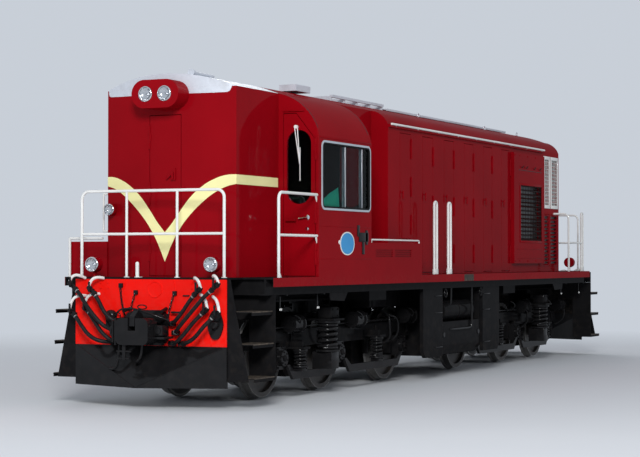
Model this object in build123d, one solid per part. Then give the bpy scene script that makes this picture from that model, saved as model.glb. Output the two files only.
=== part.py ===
# Narrow-gauge diesel-electric locomotive with one cab, a nose hood and a long engine hood.
# Millimetres. +X is the front, +Y the side seen in the photograph (the left side), +Z is up.
# The origin is at the middle of the vehicle, level with the bottom of the wheel flanges.
from build123d import *
from math import sqrt
import os

os.makedirs("parts", exist_ok=True)

# Whole vehicle
FRAME_LENGTH = 13500          # between the faces of the two headstocks
COUPLER_REACH = 400           # coupler ahead of its headstock
BODY_WIDTH = 2780             # deck and cab
FLANGE = 28                   # wheel flange below the rail's top
DECK_TOP = 1480
DECK_PLATE = 20
SILL_FOOT = 1280              # bottom of the outer sills
SILL_INSET = 90               # outer sill inside the deck's edge
FASCIA_DEPTH = 105            # red side sill
FASCIA_THICK = 12
END_DECK_WIDTH = 1982         # deck and headstock at the ends
FRONT_NARROW = 380            # length of the narrow deck at the front
REAR_NARROW = 850             # and at the rear, where the steps rise
REAR_DECK = 1700              # open deck behind the hood
BEARERS = (450, 1900, 3000, 5200, 5900)     # cross-bearers, from each end
SEAT = 0.3                    # gap between a loose piece and its seat

# Headstocks, ploughs and couplers
PLATE_THICK = 30
PLATE_BOTTOM = 708
PLOUGH_BOTTOM = 245
PLOUGH_REACH = 330            # its nose ahead of the plate
PLOUGH_PLATE = 16
COUPLER_HEIGHT = 880
SHANK = 150
COUPLER_HEAD = (420, 300)     # width and height
COUPLER_FLANGE = (500, 400, 36)
STEP_LEVELS = ((1100, 300), (738, 315), (360, 330))     # height and reach of each tread
STEP_BACK = 560               # the steps' back board behind the headstock
HOSE_RADIUS = 24
# cock inside the headstock's end, its height, socket across, socket height, how far out, sag
HOSES = ((371, 1388, 292, 960, 105, 40),
         (141, 1372, 350, 860, 165, 60),
         (271, 1125, 300, 742, 110, 40),
         (111, 1098, 440, 742, 170, 60))

# Roofs, over all hoods and the cab
CROWN = 3836                  # top of all roofs
CROWN_RISE = 162              # from the nose's eave to the crown
HOOD_SHOULDER = 358           # from the wide hood's eave to the crown
CAB_SHOULDER = 678            # from the cab's eave to the crown
ENGINE_BULGE = 32             # of the wide hood's shoulder
CAB_VENT = (2700, 420, 420, 240, 100)   # station, across, length, width, height over the roof
HORN = (720, 1280, 130, 44, 42, 17)     # bell, rear end, across, over the crown, radii
CAB_BULGE = 78
NOSE_EAVE = CROWN - CROWN_RISE
ENGINE_EAVE = CROWN - HOOD_SHOULDER
CAB_EAVE = CROWN - CAB_SHOULDER

# Hoods
NOSE_WIDTH = 1714
NOSE_FRONT = 484              # nose corners behind the headstock
NOSE_BOW = 140                # the nose front's middle ahead of its corners
HOOD_WALL = 30
ENGINE_HOOD_WIDTH = 2200
ENGINE_HOOD_START = 4350      # behind the front headstock
GRILLE_BAY = 900              # upright grilles at the hood's rear
RADIATOR_BAY = 1610           # plain bay with the radiator grille
HOOD_REAR = FRAME_LENGTH - REAR_DECK
RADIATOR_END = HOOD_REAR - GRILLE_BAY
DOORS_END = RADIATOR_END - RADIATOR_BAY
GUTTER = 34                   # how far the gutter stands out
NOSE_HALF = NOSE_WIDTH / 2
HOOD_HALF = ENGINE_HOOD_WIDTH / 2
HALF = FRAME_LENGTH / 2
HALF_WIDTH = BODY_WIDTH / 2

# Cab
CAB_FRONT = 1569
CAB_REAR = 3130
CAB_WALL = 45
CAB_ROOF = 40
PANE = 8
FRAME_BAR = 32                # silver window frame
FRAME_PROUD = 9
SIDE_WINDOW = (1650, 3080, 2290, CAB_EAVE - 63)     # from, to, sill, top
WINDOW_CORNER = 70
WINDOW_BARS = ((2320, 34), (2830, 30))              # station and width
# inner edge, outer edge, top; across the vehicle
CAB_DOOR = (NOSE_HALF + 68, HALF_WIDTH - 50, CROWN - 411)
CAB_DOOR_SLANT = (165, CAB_EAVE - 48)               # width of the slanted corner, height of its foot
CAB_DOOR_GLASS = (CAB_DOOR[0] + 41, CAB_DOOR[1] - 52, 2346, CROWN - 608)
DOOR_HINGES = (1750, 2250, CROWN - 836)

# Hood doors
DOOR_PAIRS = 6                # on each side
LEAF_GAP = 8
LEAF_THICK = 28
LEAF_TOP = ENGINE_EAVE - 78
LEAF_BOTTOM = 1500
LOW_BOX_LEAF_BOTTOM = 1960    # of the two leaves above the low box
LEAF_POST = 18                # half the post between pairs
LEAF_HINGES = (0.14, 0.5, 0.86)
HINGE_RADIUS = 9
KNUCKLE = 90
HANDLE_HEIGHT = 2560
NOSE_DOOR_WIDTH = 408
NOSE_DOOR_TOP = NOSE_EAVE - 324
NOSE_HINGES = (1800, 2450, NOSE_DOOR_TOP - 250)

# Grilles
GRILLE_FRAME = 34
GRILLE_SUNK = 4               # frames inside the hood's face
SLAT_PITCH = 62
SLAT = (22, 12)               # top and foot of a slat below its place
UPPER_GRILLE_FOOT = 2545
LOWER_GRILLE = (1560, 2440)
RADIATOR_GRILLE = (1968, 2888)
CASING = (40, 55, 1620)       # round the radiator: inside its bay's ends, proud of the hood, foot
CORE_THICK = 125

# Low boxes beside the nose and behind the cab
LOW_BOX_TOP = 1898
NEAR_BOX_END = 4840
FAR_BOX_FRONT = 465
BOX_LOUVRES = (3270, 3900)    # stations of the two groups
LOUVRE_LENGTH = 560
LOUVRE_FOOT = 1720
LOUVRE_PITCH = 26

# Handrails
RAIL_RADIUS = 17
THIN_RAIL = 11
END_RAIL_HALF = END_DECK_WIDTH / 2 - 55
END_RAIL_TOP = 2472
END_RAIL_MID = 1978
END_RAIL_POSTS = 332
SIDE_RAIL = (2452, 1965)      # top and middle bar
LOOP_STATIONS = (5400, 5930)
REAR_LOOP = 1220              # from the rear headstock
LOOP_HALF = 48
LOOP_TOP = 2478
RAIL_INSET = 26               # rail centre inside the deck's edge

# Lamps
LAMP_BOX = (617, 327, NOSE_EAVE - 90)   # width, height, height of its centre
LAMP_BOX_FRONT = 105
REAR_LAMP_DROP = 60
REAR_LAMP_DEPTH = 190
LENS_RADIUS = 82
LENS_SPREAD = 125
LENS_DEPTH = 40
DECK_LAMP = (END_RAIL_HALF - 156, 1628, 78)   # across, height, radius
MARKER_LAMP = (89 - NOSE_HALF, 2271, 62)      # one only, on the right of the nose

# Bogies
WHEEL_RADIUS = 475            # at the tread
WHEEL_BACKS = 990
TREAD_WIDTH = 125
RIM = 62
WEB = 30
HUB_RADIUS = 120
AXLE_RADIUS = 78
JOURNAL_RADIUS = 62
JOURNAL_END = 800
AXLE_STATIONS = (1610, 3270, 5350)
PIVOT_STATION = 4120
BOGIE_ENDS = (960, 5840)
BEAM = (236, 330)             # foot and top of the equaliser beams' drop
BEAM_REST = 420               # height of the beams' ends under the axleboxes' arms
BEAM_THICK = 40
# station, across, coil radius, wire radius, foot of the coil, height of the top seat
SPRINGS = ((2560, 1040, 140, 26, 545, 930),
           (1990, 940, 84, 17, 372, 600),
           (4330, 940, 84, 17, 372, 660))
SIDE_FRAME = (690, 790)       # inner and outer face, across
SIDE_FRAME_TOP = 830
SIDE_FRAME_DEPTH = 210
PEDESTAL_BOTTOM = 400
PEDESTAL_LEG = 75
AXLEBOX = (250, 270)          # length, height
AXLEBOX_SPAN = (650, 880)
AXLEBOX_COVER = (95, 44)
BRAKE_CYLINDER = (100, 230, 905, 900)   # radius, length, height, across
BRAKE_STATIONS = {"front": (1880, 3720, 5480), "rear": (1180, 3000, 4700)}
BOLSTER_TOP = 1095
PIVOT_RADIUS = 190
TRANSOM_HALF = 60
BOLSTER_HALF = 240
MOTOR_HALF = 425
MOTOR_REACH = 700             # from its axle

# Between the bogies
TANK_GAP = 120                # between the tank's end and the bogies' ends
TANK_HALF_LENGTH = HALF - BOGIE_ENDS[1] - TANK_GAP
TANK = (HALF_WIDTH - 160, 318, 800)     # half width, bottom, top
TANK_CORNER = 160
RESERVOIR_RADIUS = 150
RESERVOIR_LENGTH = 0.72 * TANK_HALF_LENGTH
SKIRT = (5200, 5930, 330, 52)           # from, to, foot, thickness

RAIL_Y = HALF_WIDTH - RAIL_INSET
AXLE_HEIGHT = WHEEL_RADIUS + FLANGE
DECK_UNDER = DECK_TOP - DECK_PLATE
LEAF_PITCH = (DOORS_END - ENGINE_HOOD_START) / (2 * DOOR_PAIRS)


def x_at(station):
    """X of a place measured back from the front headstock."""
    return HALF - station


def block(x, y, z):
    """A box between pairs of coordinates, in any order."""
    lows = [min(pair) for pair in (x, y, z)]
    spans = [abs(pair[1] - pair[0]) for pair in (x, y, z)]
    return Pos(*lows) * Box(*spans, align=(Align.MIN,) * 3)


def both_sides(shape):
    """A shape and its mirror image across the vehicle."""
    return [shape, mirror(shape, Plane.XZ)]


def both_ends(shape):
    """A shape and its half-turn about the vertical."""
    return [shape, Rot(0, 0, 180) * shape]


def one(shapes):
    """Join a list of shapes into one."""
    joined = shapes[0]
    for shape in shapes[1:]:
        joined = joined + shape
    return joined


def cylinder(centre, radius, length, along):
    """A round bar centred on a point, along X, Y or Z."""
    turn = {"x": Rot(0, 90, 0), "y": Rot(90, 0, 0), "z": Rot(0, 0, 0)}[along]
    return Pos(*centre) * turn * Cylinder(radius, length)


def bent_tube(points, radius, bend):
    """A round tube along straight runs joined by arcs."""
    path = FilletPolyline(*points, radius=bend) if len(points) > 2 else Line(*points)
    start = Vector(*points[0])
    ahead = Vector(*points[1]) - start
    return sweep(Plane(origin=start, z_dir=ahead) * Circle(radius), path=path)


def side_profile(points, y, thick):
    """An outline in X and Z, made thick across the vehicle from y outwards."""
    face = make_face(Polyline(*[(x, z) for x, z in points], close=True))
    placed = Plane(origin=(0, y, 0), x_dir=(1, 0, 0), z_dir=(0, -1, 0)) * face
    return extrude(placed, amount=-thick)


def write(name, shapes):
    """One file holds the solids of one piece, or of like pieces on one body."""
    solids = [solid for shape in shapes for solid in shape.solids()]
    whole = Compound(children=solids) if len(solids) > 1 else solids[0]
    export_step(whole, f"parts/{name}.step")


# Cross-sections of the roofs, across the vehicle

def crown_height(y):
    """Height of the crown's arc at a place across the vehicle."""
    drop = CROWN - NOSE_EAVE
    radius = (NOSE_HALF ** 2 + drop ** 2) / (2 * drop)
    return CROWN - radius + sqrt(radius ** 2 - y ** 2)


def hood_section(half, eave, bulge, floor, inset):
    """Closed outline of a hood: walls, shoulders of a given bulge and the crown."""
    wall = half - inset
    top = CROWN - inset
    shoulder = NOSE_HALF - inset
    shoulder_z = crown_height(NOSE_HALF) - inset
    if bulge is None:
        right = Line((wall, floor), (wall, shoulder_z))
        left = Line((-wall, shoulder_z), (-wall, floor))
        edges = [right, ThreePointArc((wall, shoulder_z), (0, top), (-wall, shoulder_z)), left]
    else:
        middle = ((wall + shoulder) / 2 + bulge, (eave + shoulder_z) / 2 + bulge)
        edges = [
            Line((wall, floor), (wall, eave)),
            ThreePointArc((wall, eave), middle, (shoulder, shoulder_z)),
            ThreePointArc((shoulder, shoulder_z), (0, top), (-shoulder, shoulder_z)),
            ThreePointArc((-shoulder, shoulder_z), (-middle[0], middle[1]), (-wall, eave)),
            Line((-wall, eave), (-wall, floor)),
        ]
    return make_face(edges + [Line((-wall, floor), (wall, floor))])


def hood_solid(section, start, end):
    """A hood's cross-section run from one station to another."""
    plane = Plane(origin=(x_at(end), 0, 0), x_dir=(0, 1, 0), z_dir=(1, 0, 0))
    return extrude(plane * section, amount=end - start)


# Underframe and what hangs on it

def underframe():
    """Deck plate, centre sills, outer sills, cross-bearers and bolsters in one weldment."""
    deck_half = HALF_WIDTH - FASCIA_THICK
    end_half = END_DECK_WIDTH / 2
    deck = [
        block((x_at(FRONT_NARROW), x_at(FRAME_LENGTH - REAR_NARROW)),
              (-deck_half, deck_half), (DECK_UNDER, DECK_TOP)),
        block((-HALF, HALF), (-end_half, end_half), (DECK_UNDER, DECK_TOP)),
    ]
    inside = HALF - PLATE_THICK
    sill_web, sill_flange, sill_foot = 24, 170, 1180
    for side in (-1, 1):
        middle = side * 380
        deck.append(block((-inside, inside), (middle - sill_web / 2, middle + sill_web / 2),
                          (sill_foot, DECK_UNDER)))
        deck.append(block((-inside, inside), (middle - sill_flange / 2, middle + sill_flange / 2),
                          (sill_foot - 24, sill_foot)))
        edge = side * (deck_half - SILL_INSET)
        span = (x_at(FRONT_NARROW), x_at(FRAME_LENGTH - REAR_NARROW))
        deck.append(block(span, (edge, edge - side * 20), (SILL_FOOT, DECK_UNDER)))
        deck.append(block(span, (edge, edge - side * SILL_INSET), (SILL_FOOT, SILL_FOOT + 20)))
    web = deck_half - SILL_INSET
    for station in BEARERS:
        for middle in (x_at(station), -x_at(station)):
            deck.append(block((middle - 12, middle + 12), (-web, web), (SILL_FOOT, DECK_UNDER)))
    for pivot in (x_at(PIVOT_STATION), -x_at(PIVOT_STATION)):
        deck.append(block((pivot - 280, pivot + 280), (-1050, 1050), (1150, DECK_UNDER)))
        foot = BOLSTER_TOP + SEAT
        deck.append(cylinder((pivot, 0, (foot + 1150) / 2), PIVOT_RADIUS + 40, 1150 - foot, "z"))
    for end in (-1, 1):
        deck.append(block((end * (inside - 700), end * inside), (-290, 290), (DECK_UNDER - 40, DECK_UNDER)))
        deck.append(block((end * (inside - 500), end * inside), (-200, 200), (780, 800)))
        for side in (-1, 1):
            deck.append(block((end * (inside - 500), end * inside), (side * 200, side * 220),
                              (780, DECK_UNDER)))
    return [one(deck)]


def side_sills():
    """Deep red strips along both edges of the deck."""
    span = (x_at(FRONT_NARROW), x_at(FRAME_LENGTH - REAR_NARROW))
    strip = block(span, (HALF_WIDTH - FASCIA_THICK, HALF_WIDTH), (DECK_TOP - FASCIA_DEPTH, DECK_TOP))
    return both_sides(strip)


def headstocks():
    """A flat plate across each end, with the coupler's hole through it."""
    half = END_DECK_WIDTH / 2
    plate = block((HALF - PLATE_THICK, HALF), (-half, half), (PLATE_BOTTOM, DECK_UNDER))
    hole = SHANK / 2 + SEAT
    plate -= block((HALF - 100, HALF + 100), (-hole, hole), (COUPLER_HEIGHT - hole, COUPLER_HEIGHT + hole))
    return both_ends(plate)


def plough_form(back):
    """The solid under the plough's plates, moved back by a plate's thickness."""
    half = END_DECK_WIDTH / 2
    face_x = HALF - back
    plan = make_face(Polyline((HALF - PLATE_THICK - 60, -half), (face_x, -half),
                              (face_x + PLOUGH_REACH, 0), (face_x, half),
                              (HALF - PLATE_THICK - 60, half), close=True))
    wedge = extrude(Pos(0, 0, PLOUGH_BOTTOM) * plan, amount=PLATE_BOTTOM - PLOUGH_BOTTOM)
    low, high = PLOUGH_BOTTOM, PLATE_BOTTOM
    under = make_face(Polyline((HALF - 200, low), (face_x + PLOUGH_REACH, low),
                               (face_x, high), (HALF - 200, high), close=True))
    plane = Plane(origin=(0, half, 0), x_dir=(1, 0, 0), z_dir=(0, -1, 0))
    return wedge & extrude(plane * under, amount=2 * half)


def ploughs():
    """Folded plate with a pointed foot and a raised triangle in the middle."""
    inner = plough_form(PLOUGH_PLATE * 2)
    plough = plough_form(0) - inner
    back = block((HALF - PLATE_THICK - 200, HALF - PLATE_THICK), (-1200, 1200), (PLOUGH_BOTTOM, PLATE_BOTTOM))
    return both_ends(plough - back)


def corner_steps():
    """At each corner, a flared end board, a back board and three treads."""
    top, foot = DECK_UNDER, STEP_LEVELS[-1][0] - 39
    inner = END_DECK_WIDTH / 2
    flare = [(inner, top), (inner + 30, top), (inner + 260, foot), (inner, foot)]
    board = make_face(Polyline(*flare, close=True))
    front = extrude(Plane(origin=(HALF - 40, 0, 0), x_dir=(0, 1, 0), z_dir=(1, 0, 0)) * board, amount=14)
    pieces = [front]
    back = (x_at(STEP_BACK), x_at(STEP_BACK) + 12)
    pieces.append(block(back, (inner, inner + 330), (foot, SILL_FOOT - SEAT)))
    pieces.append(block(back, (inner - 250, inner + 20), (1000, DECK_UNDER)))
    for level, reach in STEP_LEVELS:
        tread = block((back[0], HALF - 30), (inner + 12, inner + reach), (level - 8, level))
        lip = block((back[0], HALF - 40), (inner + reach - 8, inner + reach), (level - 40, level))
        pieces += [tread, lip]
    corner = one(pieces)
    return [turned for shape in both_sides(corner) for turned in both_ends(shape)]


def couplers():
    """Shank through the headstock, flange, neck, round-cornered buffer head and the hook above it."""
    z = COUPLER_HEIGHT
    shank = block((HALF - 420, HALF + 200), (-SHANK / 2, SHANK / 2), (z - SHANK / 2, z + SHANK / 2))
    wide, high, thick = COUPLER_FLANGE
    low = z - 0.42 * high
    flange = block((HALF + SEAT, HALF + SEAT + thick), (-wide / 2, wide / 2), (low, low + high))
    flange = chamfer(flange.edges().filter_by(Axis.X), 60)
    neck = cylinder((HALF + 110, 0, z), SHANK * 0.8, 220, "x")
    wide, high = COUPLER_HEAD
    head = block((HALF + 190, HALF + COUPLER_REACH), (-wide / 2, wide / 2), (z - high / 2, z + high / 2))
    head = fillet(head.edges().filter_by(Axis.X), 70)
    mouth = block((HALF + 250, HALF + COUPLER_REACH + 5), (-48, 48), (z + 10, z + 200))
    hook_line = [(HALF + 180, z + 40), (HALF + 205, z + 190), (HALF + 300, z + 235), (HALF + 385, z + 170),
                 (HALF + 390, z + 60), (HALF + 345, z + 65), (HALF + 335, z + 130), (HALF + 285, z + 150),
                 (HALF + 262, z + 0), (HALF + 215, z - 20)]
    hook = side_profile(hook_line, -32, 64)
    body = shank + flange + neck + (head - mouth) + hook
    for side in (-1, 1):
        body += cylinder((HALF + 70, side * (COUPLER_FLANGE[0] / 2 - 60), z + 150), 55, 90, "x")
    return both_ends(body)


def brake_hoses():
    """Four hoses a side, from cocks under the deck's edge down to dummy sockets near the coupler."""
    hoses = []
    for inset, cock_z, socket_y, socket_z, out, sag in HOSES:
        face, bow = HALF + SEAT, HALF + out
        cock_y = END_DECK_WIDTH / 2 - inset
        middle_y, middle_z = (cock_y + socket_y) / 2, (cock_z + socket_z) / 2 - sag
        points = [(face, cock_y, cock_z), (bow, cock_y, cock_z), (bow, middle_y, middle_z),
                  (bow, socket_y, socket_z), (face, socket_y, socket_z)]
        hoses.append(bent_tube(points, HOSE_RADIUS, 50))
    front = [side for hose in hoses for side in both_sides(hose)]
    return [turned for hose in front for turned in both_ends(hose)]


# Nose, cab and hoods

def nose_plan(inset, low, high):
    """The nose from above: straight sides, bowed front."""
    half = NOSE_HALF - inset
    front = x_at(NOSE_FRONT) - inset
    face = make_face([
        Line((x_at(CAB_FRONT), -half), (front, -half)),
        ThreePointArc((front, -half), (front + NOSE_BOW, 0), (front, half)),
        Line((front, half), (x_at(CAB_FRONT), half)),
        Line((x_at(CAB_FRONT), half), (x_at(CAB_FRONT), -half)),
    ])
    return extrude(Pos(0, 0, low) * face, amount=high - low)


def nose_shell():
    """Walls and roof of the nose, still in one."""
    outer = hood_section(NOSE_HALF, NOSE_EAVE, None, DECK_TOP, 0)
    inner = hood_section(NOSE_HALF, NOSE_EAVE, None, DECK_TOP - 10, HOOD_WALL)
    start = NOSE_FRONT - NOSE_BOW - 20
    outside = hood_solid(outer, start, CAB_FRONT) & nose_plan(0, DECK_TOP, CROWN + 10)
    return outside - (hood_solid(inner, start, CAB_FRONT) & nose_plan(HOOD_WALL, DECK_TOP - 10, CROWN))


def nose_door_box(margin):
    """The space of the nose's front door, wider by a margin."""
    half = NOSE_DOOR_WIDTH / 2 + margin
    reach = NOSE_FRONT - NOSE_BOW
    return block((x_at(reach + 200), x_at(reach - 50)), (-half, half),
                 (DECK_TOP + 20 - margin, NOSE_DOOR_TOP + margin))


def hinge_knuckles(x, y, heights, tab_size):
    """Short round barrels on a vertical hinge line, each with its tab towards the panel."""
    barrels = []
    tab_x, tab_y = tab_size
    for height in heights:
        barrel = cylinder((x, y, height), HINGE_RADIUS, KNUCKLE, "z")
        tab = block((x, x + tab_x), (y, y + tab_y), (height - KNUCKLE / 2, height + KNUCKLE / 2))
        barrels.append(barrel + tab)
    return barrels


def nose_hinge_line():
    """Where the nose door turns: just ahead of the bowed front at the door's edge."""
    edge = -(NOSE_DOOR_WIDTH / 2 + LEAF_GAP / 2)
    radius = (NOSE_HALF ** 2 + NOSE_BOW ** 2) / (2 * NOSE_BOW)
    front = x_at(NOSE_FRONT) + NOSE_BOW - radius + sqrt(radius ** 2 - edge ** 2)
    return front + HINGE_RADIUS, edge


def nose_hood():
    shell = nose_shell()
    roof = block((0, HALF), (-1500, 1500), (NOSE_EAVE, CROWN + 50))
    line_x, line_y = nose_hinge_line()
    walls = (shell - roof) - nose_door_box(LEAF_GAP)
    gap = KNUCKLE + 2 * SEAT
    for height in NOSE_HINGES:
        for step in (-gap, gap):
            walls += hinge_knuckles(line_x, line_y, [height + step], (-25, -24))[0]
    return [walls]


def nose_roof():
    shell = nose_shell()
    return [shell & block((0, HALF), (-1500, 1500), (NOSE_EAVE, CROWN + 50))]


def nose_door():
    leaf = nose_shell() & nose_door_box(0)
    line_x, line_y = nose_hinge_line()
    for barrel in hinge_knuckles(line_x, line_y, NOSE_HINGES, (-25, 24)):
        leaf += barrel
    handle = cylinder((line_x + 26, 110, 2650), 11, 90, "z")
    foot = cylinder((line_x + 12, 110, 2650), 9, 40, "x")
    return [leaf + handle + foot]


def lens_bore(x, y, z, radius, ahead):
    """The space a lens fills behind its rim at x, open ahead."""
    back, front = x - ahead * (LENS_DEPTH + SEAT), x + ahead * 60
    return cylinder(((back + front) / 2, y, z), radius + SEAT, abs(front - back), "x")


def lamp_box():
    """Round-ended housing on the nose with two lamp cups, and cups for the deck and marker lamps."""
    width, height, middle = LAMP_BOX
    end = height / 2 - 1
    face = RectangleRounded(width, height, end)
    front = x_at(LAMP_BOX_FRONT)
    start = x_at(NOSE_FRONT) + NOSE_BOW - 60
    plane = Plane(origin=(start, 0, middle), x_dir=(0, 1, 0), z_dir=(1, 0, 0))
    body = extrude(plane * face, amount=front - start)
    body -= nose_plan(-SEAT, DECK_TOP, CROWN + 200)
    for side in (-1, 1):
        body -= lens_bore(front, side * LENS_SPREAD, middle, LENS_RADIUS, 1)
    return body


def lamp_boxes():
    """Headlamp boxes and deck lamp cups at both ends, and the marker lamp's cup."""
    front_pieces = [lamp_box(), rear_lamp_box()]
    across, height, radius = DECK_LAMP
    for side in (-1, 1):
        cup = cylinder((HALF - 60, side * across, height), radius + 10, 100, "x")
        cup -= lens_bore(HALF - 10, side * across, height, radius, 1)
        stem = block((HALF - 100, HALF - 60), (side * (across - 15), side * (across + 15)),
                     (DECK_TOP, height - radius))
        front_pieces += both_ends(cup + stem)
    across, height, radius = MARKER_LAMP
    cup = cylinder((x_at(NOSE_FRONT) + 60, across, height), radius + 9, 120, "x")
    cup -= lens_bore(x_at(NOSE_FRONT) + 118, across, height, radius, 1)
    cup -= nose_plan(-SEAT, DECK_TOP, CROWN)
    return front_pieces + [cup]


def rear_lamp_box():
    """The same headlamp box on the flat rear of the hood."""
    width, height, middle = LAMP_BOX
    face = RectangleRounded(width, height, height / 2 - 1)
    rear = x_at(HOOD_REAR) - SEAT
    middle -= REAR_LAMP_DROP
    plane = Plane(origin=(rear, 0, middle), x_dir=(0, -1, 0), z_dir=(-1, 0, 0))
    body = extrude(plane * face, amount=REAR_LAMP_DEPTH)
    for side in (-1, 1):
        body -= lens_bore(rear - REAR_LAMP_DEPTH, side * LENS_SPREAD, middle, LENS_RADIUS, -1)
    return body


def lens(x, y, z, radius, ahead):
    """A domed round glass, its rim at x, bulging ahead."""
    rise, depth = radius * 0.28, LENS_DEPTH
    ball = (radius ** 2 + rise ** 2) / (2 * rise)
    middle = radius / 2
    swell = rise - ball + sqrt(ball ** 2 - middle ** 2)
    profile = make_face([
        Line((-depth, 0), (-depth, radius)),
        Line((-depth, radius), (0, radius)),
        ThreePointArc((0, radius), (swell, middle), (rise, 0)),
        Line((rise, 0), (-depth, 0)),
    ])
    glass = revolve(profile, Axis.X)
    return Pos(x, y, z) * (glass if ahead > 0 else Rot(0, 0, 180) * glass)


def lamp_lenses():
    """Glass of the headlamps, deck lamps and marker lamp."""
    glass = []
    middle = LAMP_BOX[2]
    for side in (-1, 1):
        glass.append(lens(x_at(LAMP_BOX_FRONT), side * LENS_SPREAD, middle, LENS_RADIUS, 1))
        rear = x_at(HOOD_REAR) - REAR_LAMP_DEPTH - SEAT
        glass.append(lens(rear, side * LENS_SPREAD, middle - REAR_LAMP_DROP, LENS_RADIUS, -1))
        glass += both_ends(lens(HALF - 10, side * DECK_LAMP[0], DECK_LAMP[1], DECK_LAMP[2], 1))
    glass.append(lens(x_at(NOSE_FRONT) + 118, *MARKER_LAMP, 1))
    return glass


def cab_section(inset, floor):
    return hood_section(HALF_WIDTH, CAB_EAVE, CAB_BULGE, floor, inset)


def pill(low_y, high_y, low_z, high_z, margin=0.0):
    """A round-ended upright window outline, in Y and Z."""
    width, height = high_y - low_y + 2 * margin, high_z - low_z + 2 * margin
    return Pos((low_y + high_y) / 2, (low_z + high_z) / 2) * SlotOverall(height, width, rotation=90)


def across_plane(x):
    """A drawing plane across the vehicle at x, its first axis +Y and its second +Z."""
    return Plane(origin=(x, 0, 0), x_dir=(0, 1, 0), z_dir=(1, 0, 0))


def door_outline(margin):
    """The cab door's outline with its slanted top corner, in Y and Z."""
    inner, outer, top = CAB_DOOR
    foot = DECK_TOP + 12
    slant, shoulder = CAB_DOOR_SLANT
    face = make_face(Polyline((inner, foot), (outer, foot), (outer, shoulder), (inner + slant, top),
                              (inner, top), close=True))
    return offset(face, margin, kind=Kind.INTERSECTION) if margin else face


def cab_door_outline_at(x, side, margin, thick):
    """The door's outline as a solid behind x, on the near side (1) or the far side (-1)."""
    solid = extrude(across_plane(x - thick) * door_outline(margin), amount=thick)
    return solid if side == 1 else mirror(solid, Plane.XZ)


def pill_at(x, side, margin, thick):
    solid = extrude(across_plane(x - thick) * pill(*CAB_DOOR_GLASS, margin), amount=thick)
    return solid if side == 1 else mirror(solid, Plane.XZ)


# wall x (front face), side of its door
CAB_ENDS = ((x_at(CAB_FRONT), 1), (x_at(CAB_REAR) + CAB_WALL, -1))


def side_window_face(margin):
    """The side window's rounded outline, in X and Z."""
    start, end, sill, top = SIDE_WINDOW
    face = RectangleRounded(end - start + 2 * margin, top - sill + 2 * margin, WINDOW_CORNER + margin)
    return Pos(x_at((start + end) / 2), (sill + top) / 2) * face


def side_panel(face, y, thick):
    """An X-Z outline made thick outwards from y on the near side."""
    plane = Plane(origin=(0, y, 0), x_dir=(1, 0, 0), z_dir=(0, -1, 0))
    return extrude(plane * face, amount=-thick)


def cab_hinge_line(side):
    """The cab door turns about its edge next to the hood, just outside the wall."""
    wall_x = CAB_ENDS[0][0] + HINGE_RADIUS if side == 1 else CAB_ENDS[1][0] - CAB_WALL - HINGE_RADIUS
    return wall_x, side * (CAB_DOOR[1] + LEAF_GAP / 2)


def cab_shell():
    """Hollow cab: side walls and end walls, with their windows and doorways cut."""
    outer = hood_solid(cab_section(0, DECK_TOP), CAB_FRONT, CAB_REAR)
    inner = hood_solid(cab_section(CAB_WALL, DECK_TOP - 10), CAB_FRONT + CAB_WALL, CAB_REAR - CAB_WALL)
    roof_zone = block((x_at(CAB_REAR) + CAB_WALL, x_at(CAB_FRONT) - CAB_WALL), (-1500, 1500),
                      (CAB_EAVE, CROWN + 50))
    walls = outer - inner - roof_zone
    for wall_x, side in CAB_ENDS:
        walls -= cab_door_outline_at(wall_x + 10, side, LEAF_GAP, CAB_WALL + 20)
        walls -= pill_at(wall_x + 10, -side, 0, CAB_WALL + 20)
    window = side_panel(side_window_face(0), HALF_WIDTH - CAB_WALL - 10, CAB_WALL + 20)
    for opening in both_sides(window):
        walls -= opening
    gap = KNUCKLE + 2 * SEAT
    for side in (1, -1):
        line_x, line_y = cab_hinge_line(side)
        into_wall = -side * (HINGE_RADIUS + 2)
        for height in DOOR_HINGES:
            for step in (-gap, gap):
                walls += hinge_knuckles(line_x, line_y, [height + step], (into_wall, side * 30))[0]
    return [walls]


def cab_roof():
    """Curved roof sheet between the end walls."""
    section = cab_section(0, CAB_EAVE - 20) - cab_section(CAB_ROOF, CAB_EAVE - 30)
    roof = hood_solid(section, CAB_FRONT + CAB_WALL, CAB_REAR - CAB_WALL)
    return [roof & block((0, HALF), (-1500, 1500), (CAB_EAVE, CROWN + 50))]


def cab_door(wall_x, side):
    """A door as thick as its wall, with a round-ended window, hinges and a lever handle."""
    leaf = cab_door_outline_at(wall_x, side, 0, CAB_WALL)
    leaf -= pill_at(wall_x + 10, side, 0, CAB_WALL + 20)
    line_x, line_y = cab_hinge_line(side)
    for barrel in hinge_knuckles(line_x, line_y, DOOR_HINGES, (-side * (HINGE_RADIUS + 2), -side * 30)):
        leaf += barrel
    face_x = wall_x if side == 1 else wall_x - CAB_WALL
    handle_y = side * (CAB_DOOR[0] + 70)
    leaf += cylinder((face_x + side * 34, handle_y + side * 40, 2150), 11, 130, "y")
    leaf += cylinder((face_x + side * 17, handle_y, 2150), 10, 40, "x")
    leaf += cylinder((face_x + side * 10, handle_y + side * 20, 2010), 22, 24, "x")
    return [leaf]


def pane(wall_x, side):
    middle = wall_x - CAB_WALL / 2 + PANE / 2
    return pill_at(middle, side, -SEAT, PANE)


def cab_glass():
    """Side window panes inside their silver frames, and the fixed round-ended windows."""
    inner = side_window_face(-FRAME_BAR - SEAT)
    sides = both_sides(side_panel(inner, HALF_WIDTH - 20, PANE))
    return sides + [pane(wall_x, -side) for wall_x, side in CAB_ENDS]


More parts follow.
